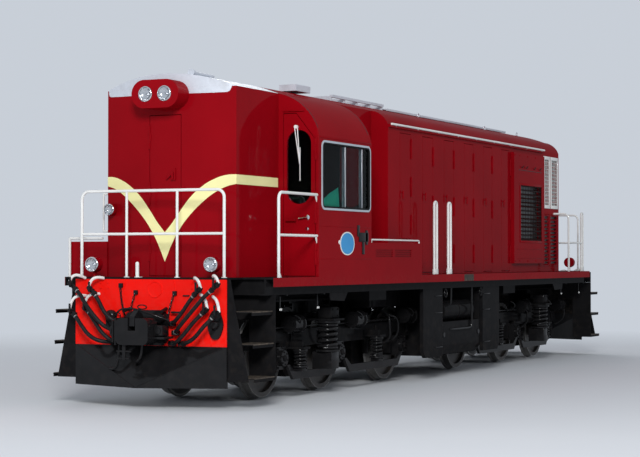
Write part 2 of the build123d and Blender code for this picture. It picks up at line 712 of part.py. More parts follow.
def window_frames():
    """Silver frames of the side windows, with the bars of the sliding pane inside the glass."""
    ring = side_window_face(FRAME_BAR * 0.4) - side_window_face(-FRAME_BAR)
    seat = side_window_face(-SEAT) - side_window_face(-FRAME_BAR)
    frame = side_panel(ring, HALF_WIDTH + SEAT, FRAME_PROUD)
    frame += side_panel(seat, HALF_WIDTH - CAB_WALL, CAB_WALL + 1)
    sill, top = SIDE_WINDOW[2:]
    bars = []
    for station, width in WINDOW_BARS:
        bars.append(block((x_at(station), x_at(station + width)),
                          (HALF_WIDTH - CAB_WALL, HALF_WIDTH - 20 - SEAT),
                          (sill + FRAME_BAR - 2, top - FRAME_BAR + 2)))
    return both_sides(one([frame] + bars))


def cab_fittings():
    """Control desk against the nose, instrument hood, and two round stools with backs."""
    wall = x_at(CAB_FRONT) - CAB_WALL
    desk = side_profile([(wall - SEAT, DECK_TOP + SEAT), (wall - 420, DECK_TOP + SEAT),
                         (wall - 420, 2150), (wall - 520, 2230), (wall - 300, 2400), (wall - SEAT, 2440)],
                        120, 640)
    pieces = [desk]
    for seat_y in (480, -560):
        seat_x = x_at(2480)
        stem = cylinder((seat_x, seat_y, (DECK_TOP + SEAT + 1960) / 2), 55, 1960 - DECK_TOP - SEAT, "z")
        cushion = cylinder((seat_x, seat_y, 1995), 230, 80, "z")
        back = block((seat_x - 225, seat_x - 165), (seat_y - 190, seat_y + 190), (2000, 2480))
        pieces.append(stem + cushion + fillet(back.edges().filter_by(Axis.X), 60))
    return pieces


def narrow_hood():
    """The hood section behind the cab, as narrow as the nose, its roof in the same sheet."""
    outer = hood_section(NOSE_HALF, NOSE_EAVE, None, DECK_TOP, 0)
    inner = hood_section(NOSE_HALF, NOSE_EAVE, None, DECK_TOP - 10, HOOD_WALL)
    shell = hood_solid(outer - inner, CAB_REAR, ENGINE_HOOD_START)
    return [shell]


def engine_section(inset, floor=DECK_TOP):
    return hood_section(HOOD_HALF, ENGINE_EAVE, ENGINE_BULGE, floor, inset)


def pair_span(pair):
    """Stations of one pair of doors: start, middle, end."""
    start = ENGINE_HOOD_START + 2 * pair * LEAF_PITCH
    return start, start + LEAF_PITCH, start + 2 * LEAF_PITCH


def leaf_floor(pair, side):
    """The near side's first pair stands above the low box."""
    return LOW_BOX_LEAF_BOTTOM if (pair == 0 and side == 1) else LEAF_BOTTOM


def grille_openings():
    """(start, end, foot, top, face across) of the openings behind the engine doors."""
    openings = [(DOORS_END + 330, RADIATOR_END - 190, *RADIATOR_GRILLE, HOOD_HALF + CASING[1])]
    post = RADIATOR_END + GRILLE_BAY * 0.467
    for start, end in ((RADIATOR_END + 60, post - 20), (post + 20, HOOD_REAR - 60)):
        openings.append((start, end, UPPER_GRILLE_FOOT, LEAF_TOP, HOOD_HALF))
        openings.append((start, end, *LOWER_GRILLE, HOOD_HALF))
    return openings


def leaf_hinges(pair, side):
    """Heights of a leaf's hinges."""
    foot = leaf_floor(pair, side)
    return [foot + share * (LEAF_TOP - foot) for share in LEAF_HINGES]


def hinge_y(side):
    return side * (HOOD_HALF + HINGE_RADIUS)


def engine_shell():
    """Walls, roof and both ends of the wide hood, still in one."""
    outer = hood_solid(engine_section(0), ENGINE_HOOD_START, HOOD_REAR)
    inner = hood_solid(engine_section(HOOD_WALL, DECK_TOP - 10), ENGINE_HOOD_START + HOOD_WALL,
                       HOOD_REAR - HOOD_WALL)
    return outer - inner


def radiator_casing():
    """The casing that stands out from the near wall round the radiator grille."""
    edge, proud, foot = CASING
    return block((x_at(DOORS_END + edge), x_at(RADIATOR_END - edge)),
                 (HOOD_HALF - 5, HOOD_HALF + proud), (foot, LEAF_TOP - 15))


def engine_hood():
    """Side walls, radiator casings and end walls, with the doors' and grilles' openings cut."""
    shell = engine_shell()
    roof = block((x_at(HOOD_REAR) + HOOD_WALL, x_at(ENGINE_HOOD_START) - HOOD_WALL),
                 (-1500, 1500), (ENGINE_EAVE, CROWN + 50))
    walls = shell - roof
    passage = hood_section(NOSE_HALF, NOSE_EAVE, None, DECK_TOP - 10, HOOD_WALL)
    walls -= hood_solid(passage, ENGINE_HOOD_START - 10, ENGINE_HOOD_START + HOOD_WALL + 10)
    for casing in both_sides(radiator_casing()):
        walls += casing
    for side in (1, -1):
        wall_y = (side * (HOOD_HALF - HOOD_WALL - 10), side * (HOOD_HALF + CASING[1] + 10))
        for pair in range(DOOR_PAIRS):
            start, _, end = pair_span(pair)
            walls -= block((x_at(start + LEAF_POST), x_at(end - LEAF_POST)), wall_y,
                           (leaf_floor(pair, side), LEAF_TOP))
        for start, end, foot, top, _ in grille_openings():
            walls -= block((x_at(start), x_at(end)), wall_y, (foot, top))
    gap = KNUCKLE + 2 * SEAT
    for side in (1, -1):
        for pair in range(DOOR_PAIRS):
            line_x = x_at(pair_span(pair)[2] - LEAF_POST)
            for height in leaf_hinges(pair, side):
                for step in (-gap, gap):
                    walls += hinge_knuckles(line_x, hinge_y(side), [height + step],
                                            (-14, -side * (HINGE_RADIUS + 6)))[0]
    return [walls]


def hood_roof():
    """Curved roof sheet of the wide hood, from gutter to gutter."""
    section = engine_section(0, ENGINE_EAVE - 60) - engine_section(HOOD_WALL, ENGINE_EAVE - 70)
    sheet = hood_solid(section, ENGINE_HOOD_START + HOOD_WALL, HOOD_REAR - HOOD_WALL)
    sheet = sheet & block((-HALF, HALF), (-1500, 1500), (ENGINE_EAVE, CROWN + 50))
    gutter = block((x_at(RADIATOR_END), x_at(ENGINE_HOOD_START)),
                   (HOOD_HALF + SEAT, HOOD_HALF + GUTTER), (ENGINE_EAVE - 26, ENGINE_EAVE + 10))
    lip = block((x_at(RADIATOR_END), x_at(ENGINE_HOOD_START + HOOD_WALL)),
                (HOOD_HALF - 8, HOOD_HALF + GUTTER), (ENGINE_EAVE, ENGINE_EAVE + 10))
    for piece in both_sides(gutter + lip):
        sheet += piece
    return [sheet]


def moving_leaf(pair, side):
    """The rear leaf of a pair: it carries the handle and turns about its rear edge."""
    _, middle, end = pair_span(pair)
    foot = leaf_floor(pair, side)
    line_x = x_at(end - LEAF_POST)
    leaf = block((line_x + LEAF_GAP, x_at(middle) - LEAF_GAP / 2),
                 (side * (HOOD_HALF - LEAF_THICK), side * HOOD_HALF), (foot + LEAF_GAP, LEAF_TOP - LEAF_GAP))
    for barrel in hinge_knuckles(line_x, hinge_y(side), leaf_hinges(pair, side),
                                 (24, -side * (HINGE_RADIUS + 6))):
        leaf += barrel
    grip_x, grip_y = x_at(middle) - 55, side * (HOOD_HALF + 24)
    leaf += cylinder((grip_x, grip_y, HANDLE_HEIGHT), 9, 110, "z")
    leaf += cylinder((grip_x, side * (HOOD_HALF + 10), HANDLE_HEIGHT + 30), 8, 32, "y")
    return leaf


def fixed_leaves(side):
    """The front leaves of the pairs, bolted shut at top and bottom."""
    leaves = []
    for pair in range(DOOR_PAIRS):
        start, middle, _ = pair_span(pair)
        leaves.append(block((x_at(start + LEAF_POST) - SEAT, x_at(middle) + LEAF_GAP / 2),
                            (side * (HOOD_HALF - LEAF_THICK), side * HOOD_HALF),
                            (leaf_floor(pair, side) + SEAT, LEAF_TOP - SEAT)))
    return leaves


def grille(start, end, foot, top, face):
    """A frame full of sloping slats, in an opening of the near side's outer face."""
    y_in, y_out = face - HOOD_WALL, face - GRILLE_SUNK
    inner = (x_at(start) - GRILLE_FRAME, x_at(end) + GRILLE_FRAME)
    outer = block((x_at(start) - SEAT, x_at(end) + SEAT), (y_in, y_out), (foot + SEAT, top - SEAT))
    panel = outer - block(inner, (y_in - 5, y_out + 5), (foot + GRILLE_FRAME, top - GRILLE_FRAME))
    room = top - foot - 2 * GRILLE_FRAME
    count = max(1, int(room / SLAT_PITCH))
    high, low = SLAT
    for row in range(count):
        z = foot + GRILLE_FRAME + (row + 0.5) * room / count
        slope = [(y_in + 4, z - high), (y_in + 4, z - low),
                 (y_out - 4, z - high - 9), (y_out - 4, z - high - 19)]
        slat = make_face(Polyline(*slope, close=True))
        plane = Plane(origin=(inner[1] - 1, 0, 0), x_dir=(0, 1, 0), z_dir=(1, 0, 0))
        panel += extrude(plane * slat, amount=inner[0] - inner[1] + 2)
    return panel


def grilles():
    """Slatted panels in the side openings: radiator grille, upper grilles and lower covers."""
    return [side for opening in grille_openings() for side in both_sides(grille(*opening))]


def low_boxes():
    """Full-width boxes: behind the cab on the near side, beside the nose on the far side."""
    near = block((x_at(CAB_REAR) - SEAT, x_at(NEAR_BOX_END)), (HOOD_HALF + SEAT, HALF_WIDTH),
                 (DECK_TOP, LOW_BOX_TOP))
    near += block((x_at(CAB_REAR) - SEAT, x_at(ENGINE_HOOD_START) + SEAT),
                  (NOSE_HALF + SEAT, HOOD_HALF + 10), (DECK_TOP, LOW_BOX_TOP))
    far = block((x_at(FAR_BOX_FRONT), x_at(CAB_FRONT) + SEAT), (-NOSE_HALF - SEAT, -HALF_WIDTH),
                (DECK_TOP, LOW_BOX_TOP))
    for start in BOX_LOUVRES:
        for row in range(4):
            height = LOUVRE_FOOT + row * LOUVRE_PITCH
            near -= block((x_at(start), x_at(start + LOUVRE_LENGTH)), (HALF_WIDTH - 12, HALF_WIDTH + 5),
                          (height, height + 12))
    return [near, far]


# Handrails

def end_rail():
    """Rail across the front: two corner hoops joined by the mid and top bars."""
    x = HALF - 45
    foot = DECK_TOP + SEAT
    half, top, mid = END_RAIL_HALF, END_RAIL_TOP, END_RAIL_MID
    rail = bent_tube([(x, -half, foot), (x, -half, top), (x, half, top), (x, half, foot)], RAIL_RADIUS, 90)
    for y in (-END_RAIL_POSTS, END_RAIL_POSTS):
        rail += cylinder((x, y, (foot + top) / 2), RAIL_RADIUS * 0.9, top - foot, "z")
    rail += cylinder((x, 0, mid), RAIL_RADIUS * 0.9, 2 * half, "y")
    return rail


def landing_rail(start, end, side):
    """Rail along the deck's edge beside a cab door, from a hoop post to the cab's end wall."""
    foot = DECK_TOP + SEAT
    top, mid = SIDE_RAIL
    points = [(x_at(start), side * RAIL_Y, foot), (x_at(start), side * RAIL_Y, top),
              (x_at(end), side * RAIL_Y, top)]
    rail = bent_tube(points, RAIL_RADIUS, 80)
    rail += cylinder((x_at((start + end) / 2), side * RAIL_Y, mid), RAIL_RADIUS * 0.9, abs(end - start), "x")
    return rail


def loop_rail(station, side):
    """A tall narrow hoop beside the mid steps."""
    foot = DECK_TOP + SEAT
    y = side * RAIL_Y
    a, b = x_at(station - LOOP_HALF), x_at(station + LOOP_HALF)
    hoop = bent_tube([(a, y, foot), (a, y, LOOP_TOP), (b, y, LOOP_TOP), (b, y, foot)], RAIL_RADIUS, 46)
    return hoop


def box_rail(points):
    """A thin bar just above a low box."""
    return bent_tube(points, THIN_RAIL, 24)


def handrails():
    rails = both_ends(end_rail())
    rails.append(landing_rail(552, CAB_FRONT - SEAT, 1))
    rails.append(landing_rail(ENGINE_HOOD_START - 40, CAB_REAR + SEAT, -1))
    for side in (1, -1):
        for station in LOOP_STATIONS:
            rails.append(loop_rail(station, side))
        rear_loop = FRAME_LENGTH - REAR_LOOP
        rails.append(loop_rail(rear_loop, side))
        top, mid = SIDE_RAIL
        start, end, y = HOOD_REAR - 280, rear_loop - LOOP_HALF, side * RAIL_Y
        rails.append(bent_tube([(x_at(start), side * (HOOD_HALF + SEAT), top), (x_at(start), y, top),
                                (x_at(start), y, DECK_TOP + SEAT)], RAIL_RADIUS, 90))
        rails.append(cylinder((x_at((start + end) / 2), y, mid), RAIL_RADIUS * 0.9,
                              end - start - 2 * RAIL_RADIUS, "x"))
    low, high = LOW_BOX_TOP + SEAT, LOW_BOX_TOP + 38
    near_y, far_y = HALF_WIDTH - 30, -(HALF_WIDTH - 30)
    rails.append(box_rail([(x_at(CAB_REAR + 60), near_y, low), (x_at(CAB_REAR + 60), near_y, high),
                           (x_at(NEAR_BOX_END - 40), near_y, high), (x_at(NEAR_BOX_END - 40), near_y, low)]))
    front = x_at(FAR_BOX_FRONT - 25)
    rails.append(box_rail([(front, far_y, DECK_TOP + SEAT), (front, far_y, high),
                           (front, -NOSE_HALF - 40, high)]))
    return rails


# Bogies. Places along a bogie are given from its pivot, towards the nearer end of the vehicle.

def along(station):
    return PIVOT_STATION - station


AXLES = [along(station) for station in AXLE_STATIONS]
OUTER_END, INNER_END = (along(station) for station in BOGIE_ENDS)
MIDDLE_TRANSOM = (AXLES[0] + AXLES[1]) / 2


def side_frame():
    """One bogie side frame, cut from plate, with open pedestals round its axleboxes."""
    top, depth = SIDE_FRAME_TOP, SIDE_FRAME_DEPTH
    length, height = AXLEBOX
    beam = [(OUTER_END, top - 60), (OUTER_END - 120, top), (INNER_END + 120, top), (INNER_END, top - 60),
            (INNER_END, top - depth), (OUTER_END, top - depth)]
    inner, outer = SIDE_FRAME
    frame = side_profile(beam, inner, outer - inner)
    for axle in AXLES:
        half, leg = length / 2, PEDESTAL_LEG
        yoke = [(axle - half - leg - 60, top - depth), (axle - half - leg, PEDESTAL_BOTTOM),
                (axle + half + leg, PEDESTAL_BOTTOM), (axle + half + leg + 60, top - depth),
                (axle + half + leg + 60, top - 60), (axle - half - leg - 60, top - 60)]
        frame += side_profile(yoke, inner, outer - inner)
    for axle in AXLES:
        half = length / 2
        frame -= block((axle - half - SEAT, axle + half + SEAT), (inner - 5, outer + 5),
                       (PEDESTAL_BOTTOM - 5, AXLE_HEIGHT + height / 2 + 45))
    return frame


def bogie_frame():
    """Side frames, end and middle transoms, and the bolster with its centre plate."""
    inner, outer = SIDE_FRAME
    pieces = both_sides(side_frame())
    top = SIDE_FRAME_TOP
    for place, half in ((OUTER_END - 60, 40), (MIDDLE_TRANSOM, TRANSOM_HALF)):
        pieces.append(block((place - half, place + half), (-inner - 5, inner + 5), (top - 170, top - 20)))
    pieces.append(block((-BOLSTER_HALF, BOLSTER_HALF), (-inner - 5, inner + 5), (top - 190, top + 60)))
    pieces.append(block((-200, 200), (-820, 820), (top + 20, BOLSTER_TOP - 120)))
    for station, y, radius, wire, foot, seat in SPRINGS:
        x, half = along(station), radius * 1.14
        bracket = block((x - half, x + half), (outer - 5, y + half), (seat + SEAT, seat + 26))
        bracket += block((x - 12, x + 12), (outer - 5, y + half * 0.4), (seat + 20, seat + 90))
        bracket += block((x - half, x + half), (outer - 5, outer + 20), (seat + SEAT, seat + 90))
        pieces += both_sides(bracket)
    pieces.append(cylinder((0, 0, BOLSTER_TOP - 90), PIVOT_RADIUS, 180, "z"))
    return one(pieces)


def axleboxes():
    """Cast boxes in the pedestals, each with a round cover, bored for the journal."""
    length, height = AXLEBOX
    inner, outer = AXLEBOX_SPAN
    boxes = []
    for axle in AXLES:
        box = block((axle - length / 2, axle + length / 2), (inner, outer),
                    (AXLE_HEIGHT - height / 2, AXLE_HEIGHT + height / 2))
        cover, proud = AXLEBOX_COVER
        box += cylinder((axle, outer + proud / 2 - 2, AXLE_HEIGHT), cover, proud, "y")
        box -= cylinder((axle, (JOURNAL_END + 10 + inner - 10) / 2, AXLE_HEIGHT), JOURNAL_RADIUS + SEAT,
                        JOURNAL_END + 10 - inner + 10, "y")
        boxes += both_sides(box)
    return boxes


def equaliser_beams():
    """Drop beams outside the frames, from axlebox to axlebox, which carry the springs."""
    y, thick = AXLEBOX_SPAN[1] + SEAT, BEAM_THICK
    low, high = BEAM
    beams = []
    for a, b in ((AXLES[0], AXLES[1]), (AXLES[1], AXLES[2])):
        start, end = a - 130, b + 130
        rest = BEAM_REST
        line = [(start + 60, rest), (start - 110, low), (end + 110, low), (end - 60, rest),
                (end + 10, rest), (end + 150, high), (start - 150, high), (start - 10, rest)]
        beams += both_sides(side_profile(line, y, thick))
    return beams


def coil(x, y, foot, top, radius, wire):
    """A coil spring as a stack of round rings on a core, between two flat ends."""
    turns = max(2, round((top - foot) / (2.6 * wire)))
    step = (top - foot) / turns
    waist = radius - wire
    edges = [Line((0, foot), (waist, foot))]
    for turn in range(turns):
        low = foot + turn * step
        edges.append(ThreePointArc((waist, low), (radius, low + step / 2), (waist, low + step)))
    edges += [Line((waist, top), (0, top)), Line((0, top), (0, foot))]
    return Pos(x, y, 0) * revolve(Plane.XZ * make_face(edges), Axis.Z)


def springs():
    """One large coil a side between the outer axles, small coils on the beams."""
    group = []
    for station, y, radius, wire, foot, top in SPRINGS:
        x = along(station)
        spring = coil(x, y, foot + 24, top - 30, radius, wire)
        for middle, thick in ((foot + 13, 26), (top - 16, 32)):
            spring += cylinder((x, y, middle), radius * 1.14, thick, "z")
        reach = radius * 0.8
        spring += block((x - reach, x + reach), (AXLEBOX_SPAN[1] + SEAT, y + reach),
                        (BEAM[1] + SEAT, foot + 5))
        group.append(spring)
    return [side for piece in group for side in both_sides(piece)]


def brake_cylinders(stations, way):
    """Cylinders on the side frames, each with its flange and push rod pointing one way."""
    group = []
    radius, length, z, y = BRAKE_CYLINDER
    for station in stations:
        x = along(station)
        body = cylinder((x, y, z), radius, length, "x")
        body += cylinder((x - way * (length / 2 + 7), y, z), radius * 1.18, 24, "x")
        body += cylinder((x - way * (length / 2 + 85), y, z), 22, 140, "x")
        body += cylinder((x + way * (length / 2 + 5), y, z), radius * 0.62, 26, "x")
        body += block((x - 60, x + 60), (SIDE_FRAME[1] + SEAT, y - 40), (SIDE_FRAME_TOP - 40, z - 45))
        group.append(body)
    return [side for piece in group for side in both_sides(piece)]


def traction_motors():
    """Motors slung beside the axles, each bored for its axle, its nose on a transom."""
    group = []
    rests = (MIDDLE_TRANSOM + TRANSOM_HALF, MIDDLE_TRANSOM - TRANSOM_HALF, -BOLSTER_HALF)
    for axle, ahead, rest in zip(AXLES, (-1, 1, 1), rests):
        near, far = axle + ahead * -110, axle + ahead * MOTOR_REACH
        case = block((near, far), (-MOTOR_HALF, MOTOR_HALF), (210, 780))
        case = chamfer(case.edges().filter_by(Axis.Y), 70)
        case += block((far - ahead * 40, rest - ahead * SEAT), (-150, 150), (640, 700))
        case -= cylinder((axle, 0, AXLE_HEIGHT), AXLE_RADIUS + 1, 2 * MOTOR_HALF + 20, "y")
        group.append(case)
    return group


def wheelset(axle):
    """An axle with its two flanged wheels, turned as one profile."""
    back, tread_end = WHEEL_BACKS / 2, WHEEL_BACKS / 2 + TREAD_WIDTH
    flange_radius = WHEEL_RADIUS + FLANGE
    mid = (back + tread_end) / 2
    half = [
        (0, AXLE_RADIUS), (back - 25, AXLE_RADIUS), (back - 25, HUB_RADIUS), (mid - WEB / 2, HUB_RADIUS + 20),
        (mid - WEB / 2, WHEEL_RADIUS - RIM), (back, WHEEL_RADIUS - RIM), (back, flange_radius - 12),
        (back + 14, flange_radius), (back + 34, WHEEL_RADIUS), (tread_end, WHEEL_RADIUS - 4),
        (tread_end, WHEEL_RADIUS - RIM), (mid + WEB / 2, WHEEL_RADIUS - RIM),
        (mid + WEB / 2, HUB_RADIUS + 20), (tread_end + 10, HUB_RADIUS),
        (tread_end + 10, JOURNAL_RADIUS), (JOURNAL_END, JOURNAL_RADIUS), (JOURNAL_END, 0),
    ]
    mirrored = [(-y, r) for y, r in reversed(half) if y > 0]
    outline = [(-JOURNAL_END, 0)] + [point for point in mirrored if point != (-JOURNAL_END, 0)] + half
    plane = Plane(origin=(0, 0, 0), x_dir=(0, 1, 0), z_dir=(1, 0, 0))
    face = plane * make_face(Polyline(*outline, close=True))
    return Pos(axle, 0, AXLE_HEIGHT) * revolve(face, Axis.Y)


# Between the bogies, and on the roof

def fuel_tank():
    """Tank with rounded lower edges, hangers at both ends, and air reservoirs over it."""
    half, low, high = TANK
    end = TANK_HALF_LENGTH
    body = block((-end, end), (-half, half), (low, high))
    lower = [edge for edge in body.edges().filter_by(Axis.X) if edge.center().Z < (low + high) / 2]
    body = fillet(lower, TANK_CORNER)
    pieces = [body]
    for x in (40 - end, end - 40):
        hanger = block((x - 12, x + 12), (half * 0.42, half), (high - 5, SILL_FOOT - SEAT))
        pieces += both_sides(hanger)
    shapes = [one(pieces)]
    reservoir_y, reservoir_z = half - RESERVOIR_RADIUS - 20, high + RESERVOIR_RADIUS + SEAT
    for x in (RESERVOIR_LENGTH * 0.53, -RESERVOIR_LENGTH * 0.53):
        shapes += both_sides(cylinder((x, reservoir_y, reservoir_z), RESERVOIR_RADIUS, RESERVOIR_LENGTH, "x"))
    return shapes


def side_lockers():
    """Deep skirt panels hung under the deck's edge, between the tank and the bogies."""
    start, end, foot, thick = SKIRT
    outer = HALF_WIDTH - 128
    panel = block((x_at(start), x_at(end)), (outer - thick, outer), (foot, SILL_FOOT - SEAT))
    lower = [edge for edge in panel.edges().filter_by(Axis.Y)
             if edge.center().Z < foot + 1 and edge.center().X > x_at(start) - 1]
    panel = chamfer(lower, 90)
    return [turned for side in both_sides(panel) for turned in both_ends(side)]


def roof_fittings():
    """Roof walk, aerial frame, cab vent and the horn, along the crown."""
    pieces = []
    walk_start, walk_end = 6300, HOOD_REAR - 300
    strip = block((x_at(walk_start), x_at(walk_end)), (-240, 240), (CROWN + 18, CROWN + 34))
    for station in range(walk_start + 50, int(walk_end), 860):
        strip += block((x_at(station), x_at(station + 60)), (-200, 200), (CROWN + SEAT, CROWN + 20))
    pieces.append(strip)
    rack = None
    for y in (-230, 230):
        bar = block((x_at(4420), x_at(6200)), (y - 18, y + 18), (CROWN + 50, CROWN + 86))
        rack = bar if rack is None else rack + bar
    for station in range(4420, 6200, 435):
        rack += block((x_at(station), x_at(station + 40)), (-230, 230), (CROWN + SEAT, CROWN + 66))
    pieces.append(rack)
    station, y, length, wide, high = CAB_VENT
    pieces.append(block((x_at(station), x_at(station + length)), (y - wide / 2, y + wide / 2),
                        (crown_height(y - wide / 2) + SEAT, crown_height(y) + high)))
    bell, end, y, high, bell_radius, tube_radius = HORN
    middle = CROWN + high
    horn = Pos(x_at(bell + 90), y, middle) * Rot(0, 90, 0) * Cone(tube_radius, bell_radius, 180)
    horn += cylinder((x_at((bell + end) / 2), y, middle), tube_radius, end - bell - 20, "x")
    for station in (bell + 150, end - 80):
        horn += block((x_at(station) - 25, x_at(station) + 25), (y - 14, y + 14),
                      (crown_height(y - 14) + SEAT, middle))
    return pieces + [horn]


def radiator_cores():
    """Finned blocks close behind the side grilles, standing on the deck."""
    outer = HOOD_HALF - HOOD_WALL - 25
    core = block((x_at(DOORS_END + 290), x_at(HOOD_REAR - HOOD_WALL - 10)),
                 (outer, outer - CORE_THICK), (DECK_TOP + SEAT, ENGINE_EAVE - 58))
    return both_sides(core)


def engine_block():
    """Diesel engine and generator, closed in by the hood, as one plain mass."""
    return [block((x_at(ENGINE_HOOD_START + 750), x_at(DOORS_END - 390)), (-520, 520),
                  (DECK_TOP + SEAT, ENGINE_EAVE - 528))]


write("underframe", underframe())
write("side_sills", side_sills())
write("headstocks", headstocks())
write("ploughs", ploughs())
write("corner_steps", corner_steps())
write("couplers", couplers())
write("brake_hoses", brake_hoses())
write("nose_hood", nose_hood())
write("nose_roof", nose_roof())
write("nose_door", nose_door())
write("lamp_boxes", lamp_boxes())
write("lamp_lenses", lamp_lenses())
write("cab_shell", cab_shell())
write("cab_roof", cab_roof())
write("cab_glass", cab_glass())
write("window_frames", window_frames())
write("cab_fittings", cab_fittings())
for name, (wall_x, side) in zip(("front", "rear"), CAB_ENDS):
    write(f"cab_door_{name}", cab_door(wall_x, side))
    write(f"cab_door_glass_{name}", [pane(wall_x, side)])
write("narrow_hood", narrow_hood())
write("engine_hood", engine_hood())
write("hood_roof", hood_roof())
for name, side in (("left", 1), ("right", -1)):
    write(f"fixed_leaves_{name}", fixed_leaves(side))
    for pair in range(DOOR_PAIRS):
        write(f"engine_door_{name}_{pair + 1}", [moving_leaf(pair, side)])
write("grilles", grilles())
write("low_boxes", low_boxes())
write("handrails", handrails())
write("fuel_tank", fuel_tank())
write("side_lockers", side_lockers())
write("roof_fittings", roof_fittings())
write("radiator_cores", radiator_cores())
write("engine_block", engine_block())
BOGIES = {
    "front": Pos(x_at(PIVOT_STATION), 0, 0),
    "rear": Pos(-x_at(PIVOT_STATION), 0, 0) * Rot(0, 0, 180),
}
for name, place in BOGIES.items():
    write(f"bogie_frame_{name}", [place * bogie_frame()])
    way = 1 if name == "front" else -1
    gear = axleboxes() + equaliser_beams() + brake_cylinders(BRAKE_STATIONS[name], way)
    write(f"bogie_gear_{name}", [place * piece for piece in gear])
    write(f"bogie_springs_{name}", [place * piece for piece in springs()])
    write(f"traction_motors_{name}", [place * piece for piece in traction_motors()])
    for number, axle in enumerate(AXLES):
        write(f"wheelset_{name}_{number + 1}", [place * wheelset(axle)])
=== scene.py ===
# Looks for a narrow-gauge diesel-electric locomotive: paint, glass, lamps, hoses, rigging and light
# Metres; +X is the front, +Y the left side, +Z up; the origin is at mid-length, at the flanges' foot
from math import cos, pi, radians, sin, sqrt
import bmesh
import bpy
from mathutils import Matrix, Vector


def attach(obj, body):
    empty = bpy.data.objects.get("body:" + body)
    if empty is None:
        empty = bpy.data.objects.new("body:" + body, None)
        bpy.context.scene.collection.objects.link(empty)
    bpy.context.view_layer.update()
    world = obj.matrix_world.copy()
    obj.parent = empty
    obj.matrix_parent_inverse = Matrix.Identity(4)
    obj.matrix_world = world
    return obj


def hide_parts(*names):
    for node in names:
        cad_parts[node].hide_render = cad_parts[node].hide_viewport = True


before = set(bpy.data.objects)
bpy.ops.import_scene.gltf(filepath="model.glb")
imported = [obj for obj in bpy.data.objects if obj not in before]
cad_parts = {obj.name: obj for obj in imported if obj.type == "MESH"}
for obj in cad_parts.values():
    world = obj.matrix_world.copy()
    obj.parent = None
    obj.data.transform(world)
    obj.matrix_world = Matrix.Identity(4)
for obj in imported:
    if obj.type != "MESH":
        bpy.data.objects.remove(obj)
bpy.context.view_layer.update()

HALF = 6.75                   # the headstocks' faces from the middle
DECK = 1.48                   # top of the deck
UNDER_DECK = 1.2797           # just below the sills
DECK_EDGE = 1.39
NOSE_HALF = 0.857
NOSE_CORNER = 6.266           # X of the nose's front corners
NOSE_BOW = 0.14
DOOR_EDGE = 0.204             # half the nose door's width
CROWN = 3.836
HOOD_START, GUTTER_END = 2.4, -4.15
HOOD_FACE, CASING_FACE = 1.1, 1.155
CAB_FRONT, CAB_REAR = 5.181, 3.62
CAB_SKIN = 0.03               # how deep the outside paint goes into the cab's walls
RAIL_Y = 1.364                # the handrails' middle
SKIRT_FACE = 1.2622           # outer face of the covers between the bogies
AXLE_HEIGHT = 0.503
AXLES = (5.14, 3.48, 1.4, -1.4, -3.48, -5.14)
AIR = 0.0005                  # gap between a piece and what carries it
SIDES = (-1, 1)
ENDS = (("front", 1), ("rear", -1))
ALONG, ACROSS, UP = (1, 0, 0), (0, 1, 0), (0, 0, 1)


def x_at(station):
    """X of a place measured back from the front headstock."""
    return HALF - station


# Materials

class Nodes:
    """A node tree, the world's or a material's, with short ways to add to it."""

    def __init__(self, tree):
        self.tree = tree

    def link(self, source, target):
        self.tree.links.new(source, target)

    def add(self, kind, inputs=(), **settings):
        """A node with its sockets set to values or joined to other sockets."""
        node = self.tree.nodes.new(kind)
        for key, value in settings.items():
            setattr(node, key, value)
        for key, value in dict(inputs).items():
            if isinstance(value, bpy.types.NodeSocket):
                self.link(value, node.inputs[key])
            else:
                node.inputs[key].default_value = value
        return node

    def math(self, operation, first, second=0.0):
        return self.add("ShaderNodeMath", {0: first, 1: second}, operation=operation).outputs[0]

    def ramp(self, value, low, high, bottom=0.0, top=1.0):
        """A value mapped from one range to another, clamped."""
        made = self.add("ShaderNodeMapRange", {"Value": value, "From Min": low, "From Max": high,
                                               "To Min": bottom, "To Max": top})
        return made.outputs["Result"]

    def background_ray(self):
        """1 where a ray shows the background to the camera: straight, reflected or through glass."""
        rays = self.add("ShaderNodeLightPath").outputs
        either = self.math("MAXIMUM", rays["Is Camera Ray"], rays["Is Glossy Ray"])
        return self.math("MAXIMUM", either, rays["Is Transmission Ray"])


